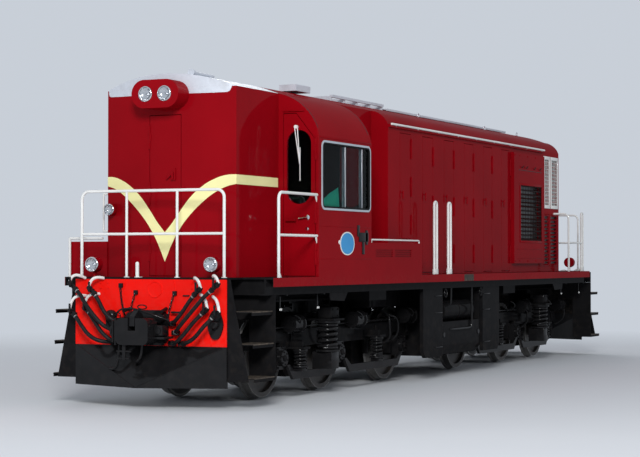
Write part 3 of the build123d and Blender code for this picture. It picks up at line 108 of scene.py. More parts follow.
class Finish(Nodes):
    """A material whose pattern is read from the piece's own coordinates, in metres."""

    def __init__(self, name):
        self.material = bpy.data.materials.new(name)
        self.material.use_nodes = True
        super().__init__(self.material.node_tree)
        self.shader = self.tree.nodes["Principled BSDF"]
        self.place = self.add("ShaderNodeTexCoord").outputs["Object"]

    def set(self, **values):
        """Values on the shader's own sockets, named with _ for a space."""
        for key, value in values.items():
            self.shader.inputs[key.replace("_", " ")].default_value = value

    def noise(self, scale, detail, stretch=None):
        vector = self.place
        if stretch:
            vector = self.add("ShaderNodeMapping", {"Vector": vector, "Scale": stretch}).outputs["Vector"]
        made = self.add("ShaderNodeTexNoise", {"Vector": vector, "Scale": scale, "Detail": detail})
        return made.outputs["Fac"]

    def mix(self, factor, first, second):
        """Two colours mixed by a factor."""
        return self.add("ShaderNodeMix", {0: factor, 6: first, 7: second}, data_type="RGBA").outputs[2]

    def product(self, first, *others):
        for other in others:
            first = self.math("MULTIPLY", first, other)
        return first

    def axis(self, name):
        return self.add("ShaderNodeSeparateXYZ", {"Vector": self.place}).outputs[name]

    def off(self, axis, middle):
        """How far a place lies from a middle along an axis."""
        return self.math("ABSOLUTE", self.math("SUBTRACT", self.axis(axis), middle))

    def bump(self, layers):
        """Bumps laid over each other: (noise or other height, strength, distance in metres)."""
        normal = None
        for height, strength, distance in layers:
            if isinstance(height, tuple):
                height = self.noise(*height)
            inputs = {"Height": height, "Strength": strength, "Distance": distance}
            if normal:
                inputs["Normal"] = normal
            normal = self.add("ShaderNodeBump", inputs).outputs["Normal"]
        self.link(normal, self.shader.inputs["Normal"])

    def colour(self, socket):
        self.link(socket, self.shader.inputs["Base Color"])

    def roughness(self, socket):
        self.link(socket, self.shader.inputs["Roughness"])

    def patches(self, scale, detail, low, high, bottom=0.0, top=1.0, stretch=None):
        return self.ramp(self.noise(scale, detail, stretch), low, high, bottom, top)

    def worn(self, base, wear, where, gloss, layers, **settings):
        """The material with a base colour, patches of wear, an uneven roughness and bumps."""
        self.colour(self.mix(self.patches(*where), base, wear))
        self.roughness(self.patches(*gloss))
        self.bump(layers)
        self.set(**settings)
        return self.material


def rgb(red, green, blue):
    return (red, green, blue, 1.0)


def tinted(colour, scale, lift=0.0):
    """A colour made lighter or darker, kept within white."""
    return tuple(min(1.0, channel * scale + lift) for channel in colour[:3]) + (1.0,)


ROAD_DUST = rgb(0.2, 0.155, 0.115)
BLACK = rgb(0.012, 0.012, 0.0125)
DEEP_RED = rgb(0.262, 0.0022, 0.0062)


def paint(name, colour, rough=0.2, wavy=0.5, dust=0.25, dust_from=1.55, dust_to=0.5, over=None):
    """Gloss paint on sheet steel: slow waves in the sheet, streaks, and road dust low down."""
    finish = Finish(name)
    body = finish.mix(finish.patches(0.9, 5, 0.3, 0.7), tinted(colour, 0.88), tinted(colour, 1.1))
    if over:
        body = over(finish, body)
    low = finish.ramp(finish.axis("Z"), dust_to, dust_from, 1.0, 0.0)
    dirt = finish.product(low, finish.patches(22.0, 6, 0.42, 0.72), dust)
    finish.colour(finish.mix(dirt, body, ROAD_DUST))
    sheen = finish.patches(6.0, 4, 0.35, 0.7, rough * 0.8, rough * 1.45, (1.0, 1.0, 0.12))
    finish.roughness(finish.math("ADD", sheen, finish.product(dirt, 0.9)))
    finish.set(Specular_IOR_Level=0.0, Coat_Weight=0.1, Coat_Roughness=0.05)
    finish.bump([((1.7, 1), 0.22 * wavy, 0.05), ((160.0, 2), 0.05, 0.001)])
    return finish.material


def black_behind(axis, limit):
    """Black on the faces nearer the middle than a limit along an axis."""
    def over(finish, body):
        outside = finish.math("GREATER_THAN", finish.math("ABSOLUTE", finish.axis(axis)), limit)
        return finish.mix(outside, BLACK, body)
    return over


def cab_inside_shade(finish, body):
    """Dark grey inside the cab's walls, painted shade of the dim inside of the cab."""
    middle, half = (CAB_FRONT + CAB_REAR) / 2, (CAB_FRONT - CAB_REAR) / 2 - CAB_SKIN
    along = finish.math("LESS_THAN", finish.off("X", middle), half)
    across = finish.math("LESS_THAN", finish.math("ABSOLUTE", finish.axis("Y")), DECK_EDGE - CAB_SKIN)
    # the dark grey is painted shade over the inner faces of the cab's walls
    return finish.mix(finish.product(along, across), body, rgb(0.03, 0.034, 0.036))


# Side windows: middle and half of each straight edge, and the seal's reach past its ends
WINDOW_EDGES = (("X", 4.385, 0.645), ("Z", 2.6925, 0.3325))
SEAL_FROM, SEAL_TO = 0.0372, 0.058


def window_seal(finish, body):
    """Black rubber round the inner edge of the side windows' frames."""
    beyond = []
    for axis, middle, core in WINDOW_EDGES:
        past = finish.math("MAXIMUM", finish.math("SUBTRACT", finish.off(axis, middle), core), 0.0)
        beyond.append(finish.product(past, past))
    reach = finish.math("SQRT", finish.math("ADD", *beyond))
    seal = finish.product(finish.math("LESS_THAN", reach, SEAL_TO),
                          finish.math("GREATER_THAN", reach, SEAL_FROM))
    return finish.mix(seal, body, BLACK)


RADIATOR_REAR = -4.1


def grille_colours(finish, body):
    """Brown-black over the radiator's grille; the grilles behind it keep the body's red."""
    radiator = finish.math("GREATER_THAN", finish.axis("X"), RADIATOR_REAR)
    return finish.mix(radiator, body, rgb(0.03, 0.008, 0.007))


def silver_paint(name):
    """Aluminium paint: slightly mottled, with soot streaks along the crown."""
    finish = Finish(name)
    bright = finish.mix(finish.noise(30.0, 3), rgb(0.58, 0.61, 0.67), rgb(0.7, 0.73, 0.79))
    return finish.worn(bright, rgb(0.3, 0.29, 0.29), (3.0, 6, 0.5, 0.85, 0.0, 0.5, (0.4, 1.5, 1.0)),
                       (14.0, 4, 0.3, 0.7, 0.3, 0.46), [((240.0, 2), 0.08, 0.001)],
                       Metallic=0.25, Specular_IOR_Level=0.3)


def bare_metal(name, colour, rough, grain=(1.0, 1.0, 1.0), dirt=0.3):
    """Unpainted metal with fine grain and a little grime."""
    return Finish(name).worn(colour, rgb(0.09, 0.075, 0.065), (18.0, 6, 0.5, 0.8, 0.0, dirt),
                             (60.0, 3, 0.3, 0.7, rough * 0.75, rough * 1.3, grain),
                             [((300.0, 2, grain), 0.1, 0.0006)], Metallic=1.0)


def black_enamel(name, dust=0.12, shine=0.08):
    """Gloss black over castings and rolled steel, brown with dust in the hollows low down."""
    finish = Finish(name)
    body = finish.mix(finish.noise(7.0, 5), rgb(0.006, 0.006, 0.0065), rgb(0.015, 0.0145, 0.0155))
    low = finish.ramp(finish.axis("Z"), 0.1, 1.25, 1.0, 0.15)
    dirt = finish.product(low, finish.patches(13.0, 8, 0.48, 0.8), dust)
    finish.colour(finish.mix(dirt, body, rgb(0.13, 0.1, 0.078)))
    finish.roughness(finish.math("ADD", finish.patches(9.0, 3, 0.3, 0.7, 0.16, 0.3), dirt))
    finish.set(Specular_IOR_Level=0.0, Coat_Weight=shine, Coat_Roughness=0.12)
    finish.bump([((55.0, 5), 0.14, 0.003), ((260.0, 2), 0.06, 0.001)])
    return finish.material


def hose_rubber(name):
    """Black hose with a wrapped surface."""
    finish = Finish(name)
    wraps = finish.add("ShaderNodeTexWave", {"Vector": finish.place, "Scale": 42.0, "Distortion": 1.5},
                       bands_direction="DIAGONAL").outputs["Fac"]
    return finish.worn(rgb(0.011, 0.011, 0.012), rgb(0.06, 0.055, 0.05), (26.0, 5, 0.5, 0.78, 0.0, 0.35),
                       (40.0, 3, 0.3, 0.7, 0.34, 0.5), [(wraps, 0.25, 0.0012), ((300.0, 2), 0.1, 0.0006)],
                       Specular_IOR_Level=0.12)


def clear_glass(name, tint, rough=0.0, ripple=0.02, bending=1.45):
    """Glass with a tint and a faint film of dust."""
    return Finish(name).worn(tint, tinted(tint, 0.6, 0.2), (5.0, 6, 0.35, 0.8, 0.0, 0.1),
                             (9.0, 4, 0.3, 0.7, rough, rough + 0.04), [((3.0, 1), ripple, 0.01)],
                             Transmission_Weight=1.0, IOR=bending)


def moulded_plastic(name, colour):
    """Grained plastic or vinyl with pale scuffs."""
    return Finish(name).worn(colour, rgb(0.3, 0.3, 0.28), (24.0, 5, 0.5, 0.75, 0.0, 0.3, (1.0, 1.0, 0.4)),
                             (30.0, 3, 0.3, 0.7, 0.42, 0.6), [((420.0, 2), 0.2, 0.0008)])


def machine_enamel(name):
    """Grey enamel with oil stains."""
    finish = Finish(name)
    oil = finish.patches(4.0, 6, 0.5, 0.72, 0.0, 0.75, (1.0, 1.0, 0.35))
    finish.colour(finish.mix(oil, rgb(0.16, 0.17, 0.17), rgb(0.03, 0.024, 0.018)))
    finish.roughness(finish.ramp(oil, 0.0, 0.75, 0.5, 0.22))
    finish.bump([((35.0, 4), 0.15, 0.002)])
    return finish.material


TREAD_FROM, TREAD_TO = 0.462, 0.468     # radii between which grime gives way to rolled steel


def wheel_finish(name, axle_x):
    """Grimed black wheel with a bright rolled tread, by distance from the axle."""
    finish = Finish(name)
    along = finish.math("SUBTRACT", finish.axis("X"), axle_x)
    rise = finish.math("SUBTRACT", finish.axis("Z"), AXLE_HEIGHT)
    square = finish.math("ADD", finish.product(along, along), finish.product(rise, rise))
    radius = finish.math("SQRT", square)
    spread = finish.noise(30.0, 4)
    grimed = finish.mix(finish.ramp(spread, 0.35, 0.7), rgb(0.01, 0.0098, 0.0095),
                        rgb(0.035, 0.027, 0.022))
    rim = finish.ramp(radius, TREAD_FROM, TREAD_TO)
    steel = finish.mix(spread, rgb(0.1, 0.094, 0.088), rgb(0.24, 0.23, 0.22))
    finish.colour(finish.mix(rim, grimed, steel))
    finish.link(finish.product(rim, 0.9), finish.shader.inputs["Metallic"])
    finish.roughness(finish.ramp(rim, 0.0, 1.0, 0.5, 0.3))
    finish.bump([((90.0, 4), 0.12, 0.002)])
    return finish.material


SILL_SKIN, HEADSTOCK_SKIN = 1.385, 6.738    # nearer the middle these plates are black
PAINTS = {
    "deep_red": paint("Deep red gloss", DEEP_RED, rough=0.17, dust=0.2),
    "side_sill": paint("Deep red sill", DEEP_RED, rough=0.2, dust=0.3, over=black_behind("Y", SILL_SKIN)),
    # the cab's walls are painted dark grey inside: painted shade of the dim cab
    "cab": paint("Deep red cab", DEEP_RED, rough=0.17, dust=0.2, over=cab_inside_shade),
    "grille": paint("Grille paint", rgb(0.2, 0.0022, 0.006), rough=0.3, dust=0.2, over=grille_colours),
    "signal_red": paint("Signal red gloss", rgb(0.9, 0.01, 0.006), rough=0.24, wavy=0.3, dust=0.2,
                        over=black_behind("X", HEADSTOCK_SKIN)),
    "cream": paint("Cream stripe gloss", rgb(0.9, 0.85, 0.42), rough=0.25, wavy=0.5, dust=0.1),
    "white": paint("White rail gloss", rgb(0.8, 0.8, 0.78), rough=0.28, wavy=0.2, dust=0.35,
                   dust_from=1.9, dust_to=1.2),
    "silver": silver_paint("Aluminium roof paint"),
    "black": black_enamel("Black gloss enamel"),
    "black_clean": black_enamel("Black fittings", dust=0.05, shine=0.35),
    "rubber": hose_rubber("Hose rubber"),
    "window": clear_glass("Window glass", rgb(0.46, 0.52, 0.54), bending=1.06),
    "lamp_glass": clear_glass("Lamp glass", rgb(0.95, 0.96, 0.97), rough=0.01, ripple=0.25),
    "aluminium": bare_metal("Window aluminium", rgb(0.5, 0.52, 0.55), 0.34, (1.0, 1.0, 12.0), 0.15),
    "window_frame": paint("Window frame", rgb(0.46, 0.5, 0.55), rough=0.3, wavy=0.0, dust=0.1,
                          over=window_seal),
    "chrome": bare_metal("Lamp chrome", rgb(0.72, 0.73, 0.75), 0.08, dirt=0.1),
    "steel": bare_metal("Worn steel", rgb(0.42, 0.41, 0.4), 0.36, dirt=0.6),
    "plastic": moulded_plastic("Console plastic", rgb(0.07, 0.08, 0.075)),
    "vinyl": moulded_plastic("Stool vinyl", rgb(0.018, 0.018, 0.02)),
    "machine": machine_enamel("Machine enamel"),
    "blue": paint("Blue plate enamel", rgb(0.072, 0.32, 0.64), rough=0.2, wavy=0.0, dust=0.0),
    "green": paint("Green blind", rgb(0.03, 0.62, 0.38), rough=0.5, wavy=0.0, dust=0.0),
    "step": paint("Step plate worn", rgb(0.06, 0.052, 0.045), rough=0.5, wavy=0.0, dust=0.5,
                  dust_from=1.6, dust_to=1.3),
}
NODE_PAINTS = {
    "black": ("underframe", "corner_steps", "fuel_tank", "side_lockers", "bogie_frame_front",
              "bogie_frame_rear", "traction_motors_front", "traction_motors_rear"),
    "black_clean": ("ploughs", "couplers", "bogie_gear_front", "bogie_gear_rear"),
    "signal_red": ("headstocks",),
    "side_sill": ("side_sills",),
    "cab": ("cab_shell",),
    "grille": ("grilles",),
    "white": ("handrails",),
    "silver": ("nose_roof", "roof_fittings"),
    "rubber": ("brake_hoses",),
    "lamp_glass": ("lamp_lenses",),
    "window": ("cab_glass", "cab_door_glass_front", "cab_door_glass_rear"),
    "window_frame": ("window_frames",),
    "plastic": ("cab_fittings",),
    "machine": ("radiator_cores", "engine_block"),
}
painted = {node: PAINTS[name] for name, members in NODE_PAINTS.items() for node in members}
for index, axle_x in enumerate(AXLES):
    end = "front" if axle_x > 0 else "rear"
    number = index + 1 if axle_x > 0 else 6 - index
    painted[f"wheelset_{end}_{number}"] = wheel_finish(f"Wheel steel {end} {number}", axle_x)
for name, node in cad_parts.items():
    node.data.materials.clear()
    node.data.materials.append(painted.get(name, PAINTS["deep_red"]))


# Light, floor and camera

def stage_floor(name, size, drop, colour):
    """A wide matt floor just below the wheels, faintly uneven in colour."""
    bm = bmesh.new()
    bmesh.ops.create_grid(bm, x_segments=1, y_segments=1, size=size)
    bmesh.ops.translate(bm, verts=bm.verts, vec=(0, 0, -drop))
    mesh = bpy.data.meshes.new(name)
    bm.to_mesh(mesh)
    bm.free()
    sheet = bpy.data.objects.new(name, mesh)
    bpy.context.collection.objects.link(sheet)
    finish = Finish(name)
    grain = finish.noise(0.6, 4)
    finish.colour(finish.mix(grain, tinted(colour, 0.97), colour))
    finish.set(Specular_IOR_Level=0.1)
    finish.roughness(finish.ramp(grain, 0.3, 0.7, 0.85, 0.95))
    fade_out(finish)
    mesh.materials.append(finish.material)


def fade_out(finish):
    """Lets the floor pass into the background's own colour far from the object."""
    distance = finish.add("ShaderNodeVectorMath", {0: finish.place}, operation="LENGTH").outputs["Value"]
    far = finish.product(finish.ramp(distance, FADE_FROM, FADE_TO), finish.background_ray())
    glow = finish.add("ShaderNodeEmission", {"Color": BACKDROP, "Strength": BACKDROP_LEVEL})
    mixed = finish.add("ShaderNodeMixShader", {0: far, 1: finish.shader.outputs[0], 2: glow.outputs[0]})
    finish.link(mixed.outputs[0], finish.tree.nodes["Material Output"].inputs["Surface"])


BACKDROP, BACKDROP_LEVEL = rgb(0.61, 0.655, 0.72), 0.95
DIFFUSE_LEVEL = 0.55          # the surroundings' strength as light
FADE_FROM, FADE_TO = 9.5, 17.0
stage_floor("studio_floor", 90.0, 0.001, rgb(0.79, 0.81, 0.84))


def studio_world():
    """Plain pale surroundings, behind the object and in its reflections, softer as light."""
    world = bpy.data.worlds.new("Studio")
    world.use_nodes = True
    bpy.context.scene.world = world
    nodes = Nodes(world.node_tree)
    background = nodes.tree.nodes["Background"].inputs
    background["Color"].default_value = BACKDROP
    level = nodes.ramp(nodes.background_ray(), 0.0, 1.0, DIFFUSE_LEVEL, BACKDROP_LEVEL)
    nodes.link(level, background["Strength"])


def area_light(name, place, aim, size, power):
    data = bpy.data.lights.new(name, "AREA")
    data.shape = "RECTANGLE"
    data.size, data.size_y = size
    data.energy = power
    lamp = bpy.data.objects.new(name, data)
    lamp.location = place
    lamp.rotation_euler = (Vector(aim) - Vector(place)).to_track_quat("-Z", "Y").to_euler()
    bpy.context.collection.objects.link(lamp)


studio_world()
area_light("Key", (27, 11.5, 12), (2, 0, 2), (6, 6), 4900)
area_light("Side", (-2, 22, 14), (-1, 0, 2), (14, 6), 350)
area_light("Back", (-16, -14, 14), (-2, 0, 2), (12, 8), 900)

camera = bpy.data.objects.new("Camera", bpy.data.cameras.new("Camera"))
camera.location = (24.466, 10.45, 1.694)
camera.rotation_euler = Vector((-0.9052, -0.4246, 0.0168)).to_track_quat("-Z", "Y").to_euler()
camera.data.lens = 101.25
camera.data.sensor_width = 36
camera.data.clip_end = 400
bpy.context.collection.objects.link(camera)
bpy.context.scene.camera = camera
bpy.context.scene.view_settings.view_transform = "Standard"


# Making pieces

def put(name, bm, paint_name, body="root", smooth=True, angle=40):
    """A finished piece from a bmesh, with its faces outward, riding on its body."""
    bm.normal_update()
    bmesh.ops.recalc_face_normals(bm, faces=bm.faces)
    mesh = bpy.data.meshes.new(name)
    bm.to_mesh(mesh)
    bm.free()
    mesh.materials.append(PAINTS[paint_name])
    for face in mesh.polygons:
        face.use_smooth = smooth
        face.material_index = 0
    if smooth:
        mesh.set_sharp_from_angle(angle=radians(angle))
    piece = bpy.data.objects.new(name, mesh)
    bpy.context.collection.objects.link(piece)
    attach(piece, body)
    return piece


def spread(middle, half):
    """A pair of coordinates either side of a middle."""
    return (middle - half, middle + half)


def proud(end, *outs):
    """X of places standing out from the headstock's face at an end."""
    return [end * (HALF + out) for out in outs]


def on_head(end, side, *places):
    """Points given as (out from the headstock's face, across, height), at an end and side."""
    return [(end * (HALF + out), side * across, height) for out, across, height in places]


def toward(way, side, *places):
    """Points given as (station, across, height), in the front or rear half and on a side."""
    return [(way * x_at(station), side * across, height) for station, across, height in places]


def beside(x, side, *places):
    """Points given as (along from x, across, height), on a side."""
    return [(x + along, side * across, height) for along, across, height in places]


def round_ring(radius, wire, rise=0.0):
    """A round wire's profile, for add_lathe to spin into a ring."""
    turns = [turn * pi / 4 for turn in range(8)]
    return [(radius + wire * cos(turn), rise + wire * sin(turn)) for turn in turns]


def add_box(bm, x, y, z, bevel=0.0, segments=2):
    """A box between pairs of coordinates in any order, its edges rounded."""
    lows = Vector([min(span) for span in (x, y, z)])
    highs = Vector([max(span) for span in (x, y, z)])
    verts = bmesh.ops.create_cube(bm, size=1)["verts"]
    bmesh.ops.scale(bm, verts=verts, vec=highs - lows)
    bmesh.ops.translate(bm, verts=verts, vec=(lows + highs) / 2)
    if bevel:
        edges = list(dict.fromkeys(edge for vert in verts for edge in vert.link_edges))
        bmesh.ops.bevel(bm, geom=edges, offset=bevel, segments=segments, profile=0.5, affect="EDGES",
                        material=-1)


def along_box(bm, start, end, y, z, bevel=0.0):
    """A box between two stations."""
    add_box(bm, (x_at(start), x_at(end)), y, z, bevel)


def add_rod(bm, start, end, radius, sides=12, end_radius=None):
    """A round bar, or a cone, between two points."""
    start, end = Vector(start), Vector(end)
    run = end - start
    verts = bmesh.ops.create_cone(bm, cap_ends=True, segments=sides, radius1=radius,
                                  radius2=radius if end_radius is None else end_radius,
                                  depth=run.length)["verts"]
    turn_and_move(bm, verts, run.to_track_quat("Z", "Y").to_matrix(), (start + end) / 2)


def add_collar(bm, place, way, low, high, radius, sides):
    """A round bar between two distances from a place, along a direction."""
    add_rod(bm, place + way * low, place + way * high, radius, sides)


def add_bolt(bm, place, facing, size):
    """A hexagon bolt head with its washer, standing on a surface."""
    place, facing = Vector(place), Vector(facing).normalized()
    add_rod(bm, place, place + facing * size * 0.18, size * 1.15, 10)
    add_rod(bm, place + facing * size * 0.18, place + facing * size * 0.9, size, 6, size * 0.92)


def add_bolts(bm, places_x, y, heights, side, size):
    """Bolts on a face of the vehicle's side, at each X and height."""
    for x in places_x:
        for height in heights:
            add_bolt(bm, (x, y, height), (0, side, 0), size)


def fresh(bm, before):
    """The vertices that a bmesh has gained since a set of them was taken."""
    return [vert for vert in bm.verts if vert not in before]


def turn_and_move(bm, verts, turn, place):
    """Turns vertices about the origin, then carries them to a place."""
    bmesh.ops.rotate(bm, verts=verts, cent=(0, 0, 0), matrix=turn)
    bmesh.ops.translate(bm, verts=verts, vec=place)


def add_lathe(bm, profile, centre, axis, steps=24, ring=False):
    """A profile of (radius, along) points spun about an axis; a ring's profile closes on itself."""
    before = set(bm.verts)
    verts = [bm.verts.new((radius, 0, along)) for radius, along in profile]
    pairs = list(zip(verts, verts[1:]))
    if ring:
        pairs.append((verts[-1], verts[0]))
    edges = [bm.edges.new(pair) for pair in pairs]
    bmesh.ops.spin(bm, geom=verts + edges, cent=(0, 0, 0), axis=UP, angle=2 * pi, steps=steps,
                   use_merge=True)
    bmesh.ops.remove_doubles(bm, verts=fresh(bm, before), dist=1e-6)
    turn_and_move(bm, fresh(bm, before), Vector(axis).to_track_quat("Z", "Y").to_matrix(), centre)


def add_link(bm, centre, along, across, length, width, wire):
    """One oval chain link."""
    before = set(bm.verts)
    add_lathe(bm, round_ring(width / 2 - wire, wire), (0, 0, 0), UP, 12, ring=True)
    made = fresh(bm, before)
    stretch = length / 2 - width / 2
    for vert in made:
        vert.co.x += stretch if vert.co.x > 0 else -stretch
    long_way, side_way = Vector(along).normalized(), Vector(across).normalized()
    turn = Matrix((long_way, long_way.cross(side_way), side_way)).transposed()
    turn_and_move(bm, made, turn, centre)


def add_curve(bm, data):
    """Takes a curve's mesh into a bmesh and removes the curve."""
    holder = bpy.data.objects.new("shape", data)
    mesh = bpy.data.meshes.new_from_object(holder)
    bpy.data.objects.remove(holder)
    bpy.data.curves.remove(data)
    bm.from_mesh(mesh)
    bpy.data.meshes.remove(mesh)


def add_tubes(bm, runs, radius, order=3, sides=3, steps=5):
    """Round tubes, each a smooth line drawn by its list of points."""
    data = bpy.data.curves.new("tubes", "CURVE")
    data.dimensions = "3D"
    data.bevel_depth = radius
    data.bevel_resolution = sides
    data.resolution_u = steps
    data.use_fill_caps = True
    for points in runs:
        spline = data.splines.new("NURBS")
        spline.points.add(len(points) - 1)
        for point, place in zip(spline.points, points):
            point.co = (*place, 1.0)
        spline.order_u = min(order, len(points))
        spline.use_endpoint_u = True
    add_curve(bm, data)


def lay(verts, place):
    """Moves a plate's (across, up, level) points to where place puts them."""
    for vert in verts:
        vert.co = place(*vert.co)


def on_side(y):
    """Puts a plate in the plane of the vehicle's side."""
    return lambda along, up, level: (along, y + level, up)


def on_end(x):
    """Puts a plate in the plane of the vehicle's end."""
    return lambda across, up, level: (x + level, across, up)


def add_plate(bm, outline, thick, place=None, corners=None, steps=8):
    """A plate from its outline, laid by place; all its corners are sharp unless some are given."""
    data = bpy.data.curves.new("plate", "CURVE")
    data.dimensions = "2D"
    data.fill_mode = "BOTH"
    data.extrude = thick / 2
    data.resolution_u = steps
    spline = data.splines.new("BEZIER")
    spline.bezier_points.add(len(outline) - 1)
    spline.use_cyclic_u = True
    for index, (point, corner) in enumerate(zip(spline.bezier_points, outline)):
        point.co = (*corner, 0.0)
        kind = "VECTOR" if corners is None or index in corners else "AUTO"
        point.handle_left_type = kind
        point.handle_right_type = kind
    before = set(bm.verts)
    add_curve(bm, data)
    bmesh.ops.remove_doubles(bm, verts=fresh(bm, before), dist=1e-5)
    if place:
        lay(fresh(bm, before), place)


def cut(bm, place, facing=1, **settings):
    """Cuts a plate across its X."""
    whole = bm.verts[:] + bm.edges[:] + bm.faces[:]
    bmesh.ops.bisect_plane(bm, geom=whole, plane_co=(place, 0, 0), plane_no=(facing, 0, 0), **settings)


def clip(bm, low, high):
    """Keeps a plate between two places along its X, closing the cuts."""
    for bound, facing in ((low, -1), (high, 1)):
        cut(bm, bound, facing, clear_outer=True)
        bmesh.ops.holes_fill(bm, edges=[edge for edge in bm.edges if edge.is_boundary])


def nose_face(y):
    """X of the nose's bowed front at a place across the vehicle."""
    radius = (NOSE_HALF ** 2 + NOSE_BOW ** 2) / (2 * NOSE_BOW)
    return NOSE_CORNER + NOSE_BOW - radius + sqrt(radius ** 2 - y ** 2)


# Cream stripe, painted on as a film: a V over the nose's front and a band along each side
# Left half's edges, (across, height), from the nose's corner to its middle and back
STRIPE_UPPER = ((0.857, 2.66), (0.749, 2.653), (0.601, 2.604), (0.474, 2.531), (0.343, 2.421),
                (0.208, 2.26), (0.098, 2.111), (0.0, 1.999))
STRIPE_LOWER = ((0.0, 1.661), (0.118, 1.915), (0.236, 2.097), (0.343, 2.221), (0.474, 2.345),
                (0.601, 2.443), (0.745, 2.52), (0.857, 2.55))
SILVER_BAND = ((0.808, 3.6735), (-0.838, 3.6735), (-0.838, 3.64), (-0.825, 3.612), (-0.79, 3.602),
               (0.735, 3.602), (0.775, 3.612), (0.798, 3.642))
BOW_CUTS, BOW_STEP = 16, 0.053          # cuts each side of the middle, so the film follows the bow


def nose_film(name, outline, corners, paint_name, body, low, high):
    """Paint laid over the bowed nose front between two places across."""
    bm = bmesh.new()
    add_plate(bm, outline, 0.002, corners=corners, steps=6)
    for number in range(-BOW_CUTS, BOW_CUTS + 1):
        cut(bm, number * BOW_STEP)
    clip(bm, low, high)
    lay(bm.verts, lambda y, z, out: (nose_face(y) + 0.0008 + out, y, z))
    put(name, bm, paint_name, body, smooth=False)


right_upper = [(-y, z) for y, z in reversed(STRIPE_UPPER[:-1])]
right_lower = [(-y, z) for y, z in reversed(STRIPE_LOWER[1:])]
stripe = [*STRIPE_UPPER, *right_upper, *right_lower, *STRIPE_LOWER]
points = [index for index, (y, z) in enumerate(stripe) if y == 0 or abs(y) == NOSE_HALF]
for name, body, low, high in (("right", "root", -NOSE_HALF, -DOOR_EDGE),
                              ("door", "nose_door", -DOOR_EDGE, DOOR_EDGE),
                              ("left", "root", DOOR_EDGE, NOSE_HALF)):
    nose_film(f"nose_stripe_{name}", stripe, points, "cream", body, low, high)
nose_film("nose_silver_band", SILVER_BAND, (0, 1), "silver", "root", -NOSE_HALF, NOSE_HALF)
bm = bmesh.new()
for side in SIDES:
    add_box(bm, (CAB_FRONT + 0.02, NOSE_CORNER), (side * (NOSE_HALF - 0.001), side * (NOSE_HALF + 0.0018)),
            (2.548, 2.659))
put("side_stripes", bm, "cream", smooth=False)

# The nose door's lever, standing off the bowed front
bm = bmesh.new()
handle = nose_face(0.11) + 0.032
add_rod(bm, (handle, 0.125, 2.69), (handle, 0.035, 2.615), 0.009, 10)
add_box(bm, (handle - 0.03, handle - 0.012), (0.12, 0.145), (2.6, 2.74), 0.004)
put("nose_lever", bm, "deep_red", "nose_door")

# Lamps, (x, across, height, radius), all facing outward along x; the marker lamp is single
LAMPS = [(x, side * y, z, r) for side in SIDES for x, y, z, r in (
    (6.645, 0.125, 3.584, 0.082), (-5.2403, 0.125, 3.524, 0.082), (6.74, 0.78, 1.628, 0.078),
    (-6.74, 0.78, 1.628, 0.078))] + [(6.384, -0.768, 2.271, 0.062)]
# Their profiles, (share of the lamp's radius, along)
BOWL = ((0, -0.034), (0.25, -0.033), (0.5, -0.028), (0.72, -0.018), (0.9, -0.004), (0.97, -0.002),
        (0.97, -0.038), (0, -0.038))
BULB = ((0, -0.004), (0.1, -0.006), (0.14, -0.012), (0.14, -0.034))
LENS = ((0, 0.016), (0.35, 0.0145), (0.65, 0.0095), (0.9, 0.002), (0.9, -0.0015), (0.62, 0.005),
        (0.35, 0.009), (0, 0.0105))
BEZEL = ((0.87, -0.001), (0.9, 0.008), (0.98, 0.014), (1.07, 0.011), (1.12, 0.0006), (1.0, 0.0004),
         (0.99, -0.003))
glass, bowls, bezels = bmesh.new(), bmesh.new(), bmesh.new()
for x, across, height, radius in LAMPS:
    for bm, profile, steps in ((bowls, BOWL, 24), (bowls, BULB, 12), (glass, LENS, 28),
                               (bezels, BEZEL, 32)):
        add_lathe(bm, [(share * radius, along) for share, along in profile], (x, across, height),
                  (1 if x > 0 else -1, 0, 0), steps, ring=profile is BEZEL)
put("lamp_bowls", bowls, "chrome")
put("lamp_bezels", bezels, "chrome", angle=60)
lamp_glass = put("lamp_glass", glass, "lamp_glass", angle=60)
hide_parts("lamp_lenses")

# Hoses, cocks and pipes on both headstocks, from the photograph's front
# White pipe from the deck's edge to its cock, then the hose from there: (out, across, height)
HOSE_SETS = (
    ([(0.02, 0.599, 1.47), (0.1, 0.63, 1.49), (0.13, 0.71, 1.45), (0.13, 0.733, 1.364)],
     [(0.13, 0.66, 1.3), (0.14, 0.593, 1.22), (0.16, 0.511, 1.088), (0.14, 0.4, 0.98),
      (0.04, 0.31, 0.962)]),
    ([(0.02, 0.847, 1.47), (0.12, 0.875, 1.515), (0.16, 0.955, 1.49), (0.16, 0.973, 1.42)],
     [(0.16, 0.895, 1.35), (0.18, 0.8, 1.27), (0.2, 0.759, 1.213), (0.22, 0.619, 1.055),
      (0.19, 0.453, 0.89), (0.05, 0.37, 0.862)]),
    ([(0.004, 0.665, 1.29), (0.08, 0.7, 1.3), (0.11, 0.79, 1.24), (0.11, 0.805, 1.138)],
     [(0.11, 0.76, 1.1), (0.13, 0.7, 1.04), (0.15, 0.632, 0.966), (0.16, 0.53, 0.838),
      (0.12, 0.4, 0.741), (0.02, 0.31, 0.742)]),
    ([(0.004, 0.83, 1.262), (0.1, 0.86, 1.285), (0.15, 0.965, 1.22), (0.15, 0.975, 1.1)],
     [(0.15, 0.915, 1.06), (0.17, 0.85, 0.99), (0.19, 0.797, 0.936), (0.19, 0.69, 0.811),
      (0.15, 0.543, 0.74), (0.03, 0.44, 0.742)]),
)
CORNERS = [(end, side) for end in SIDES for side in SIDES]
hoses, pipes, cocks, clamps = bmesh.new(), bmesh.new(), bmesh.new(), bmesh.new()
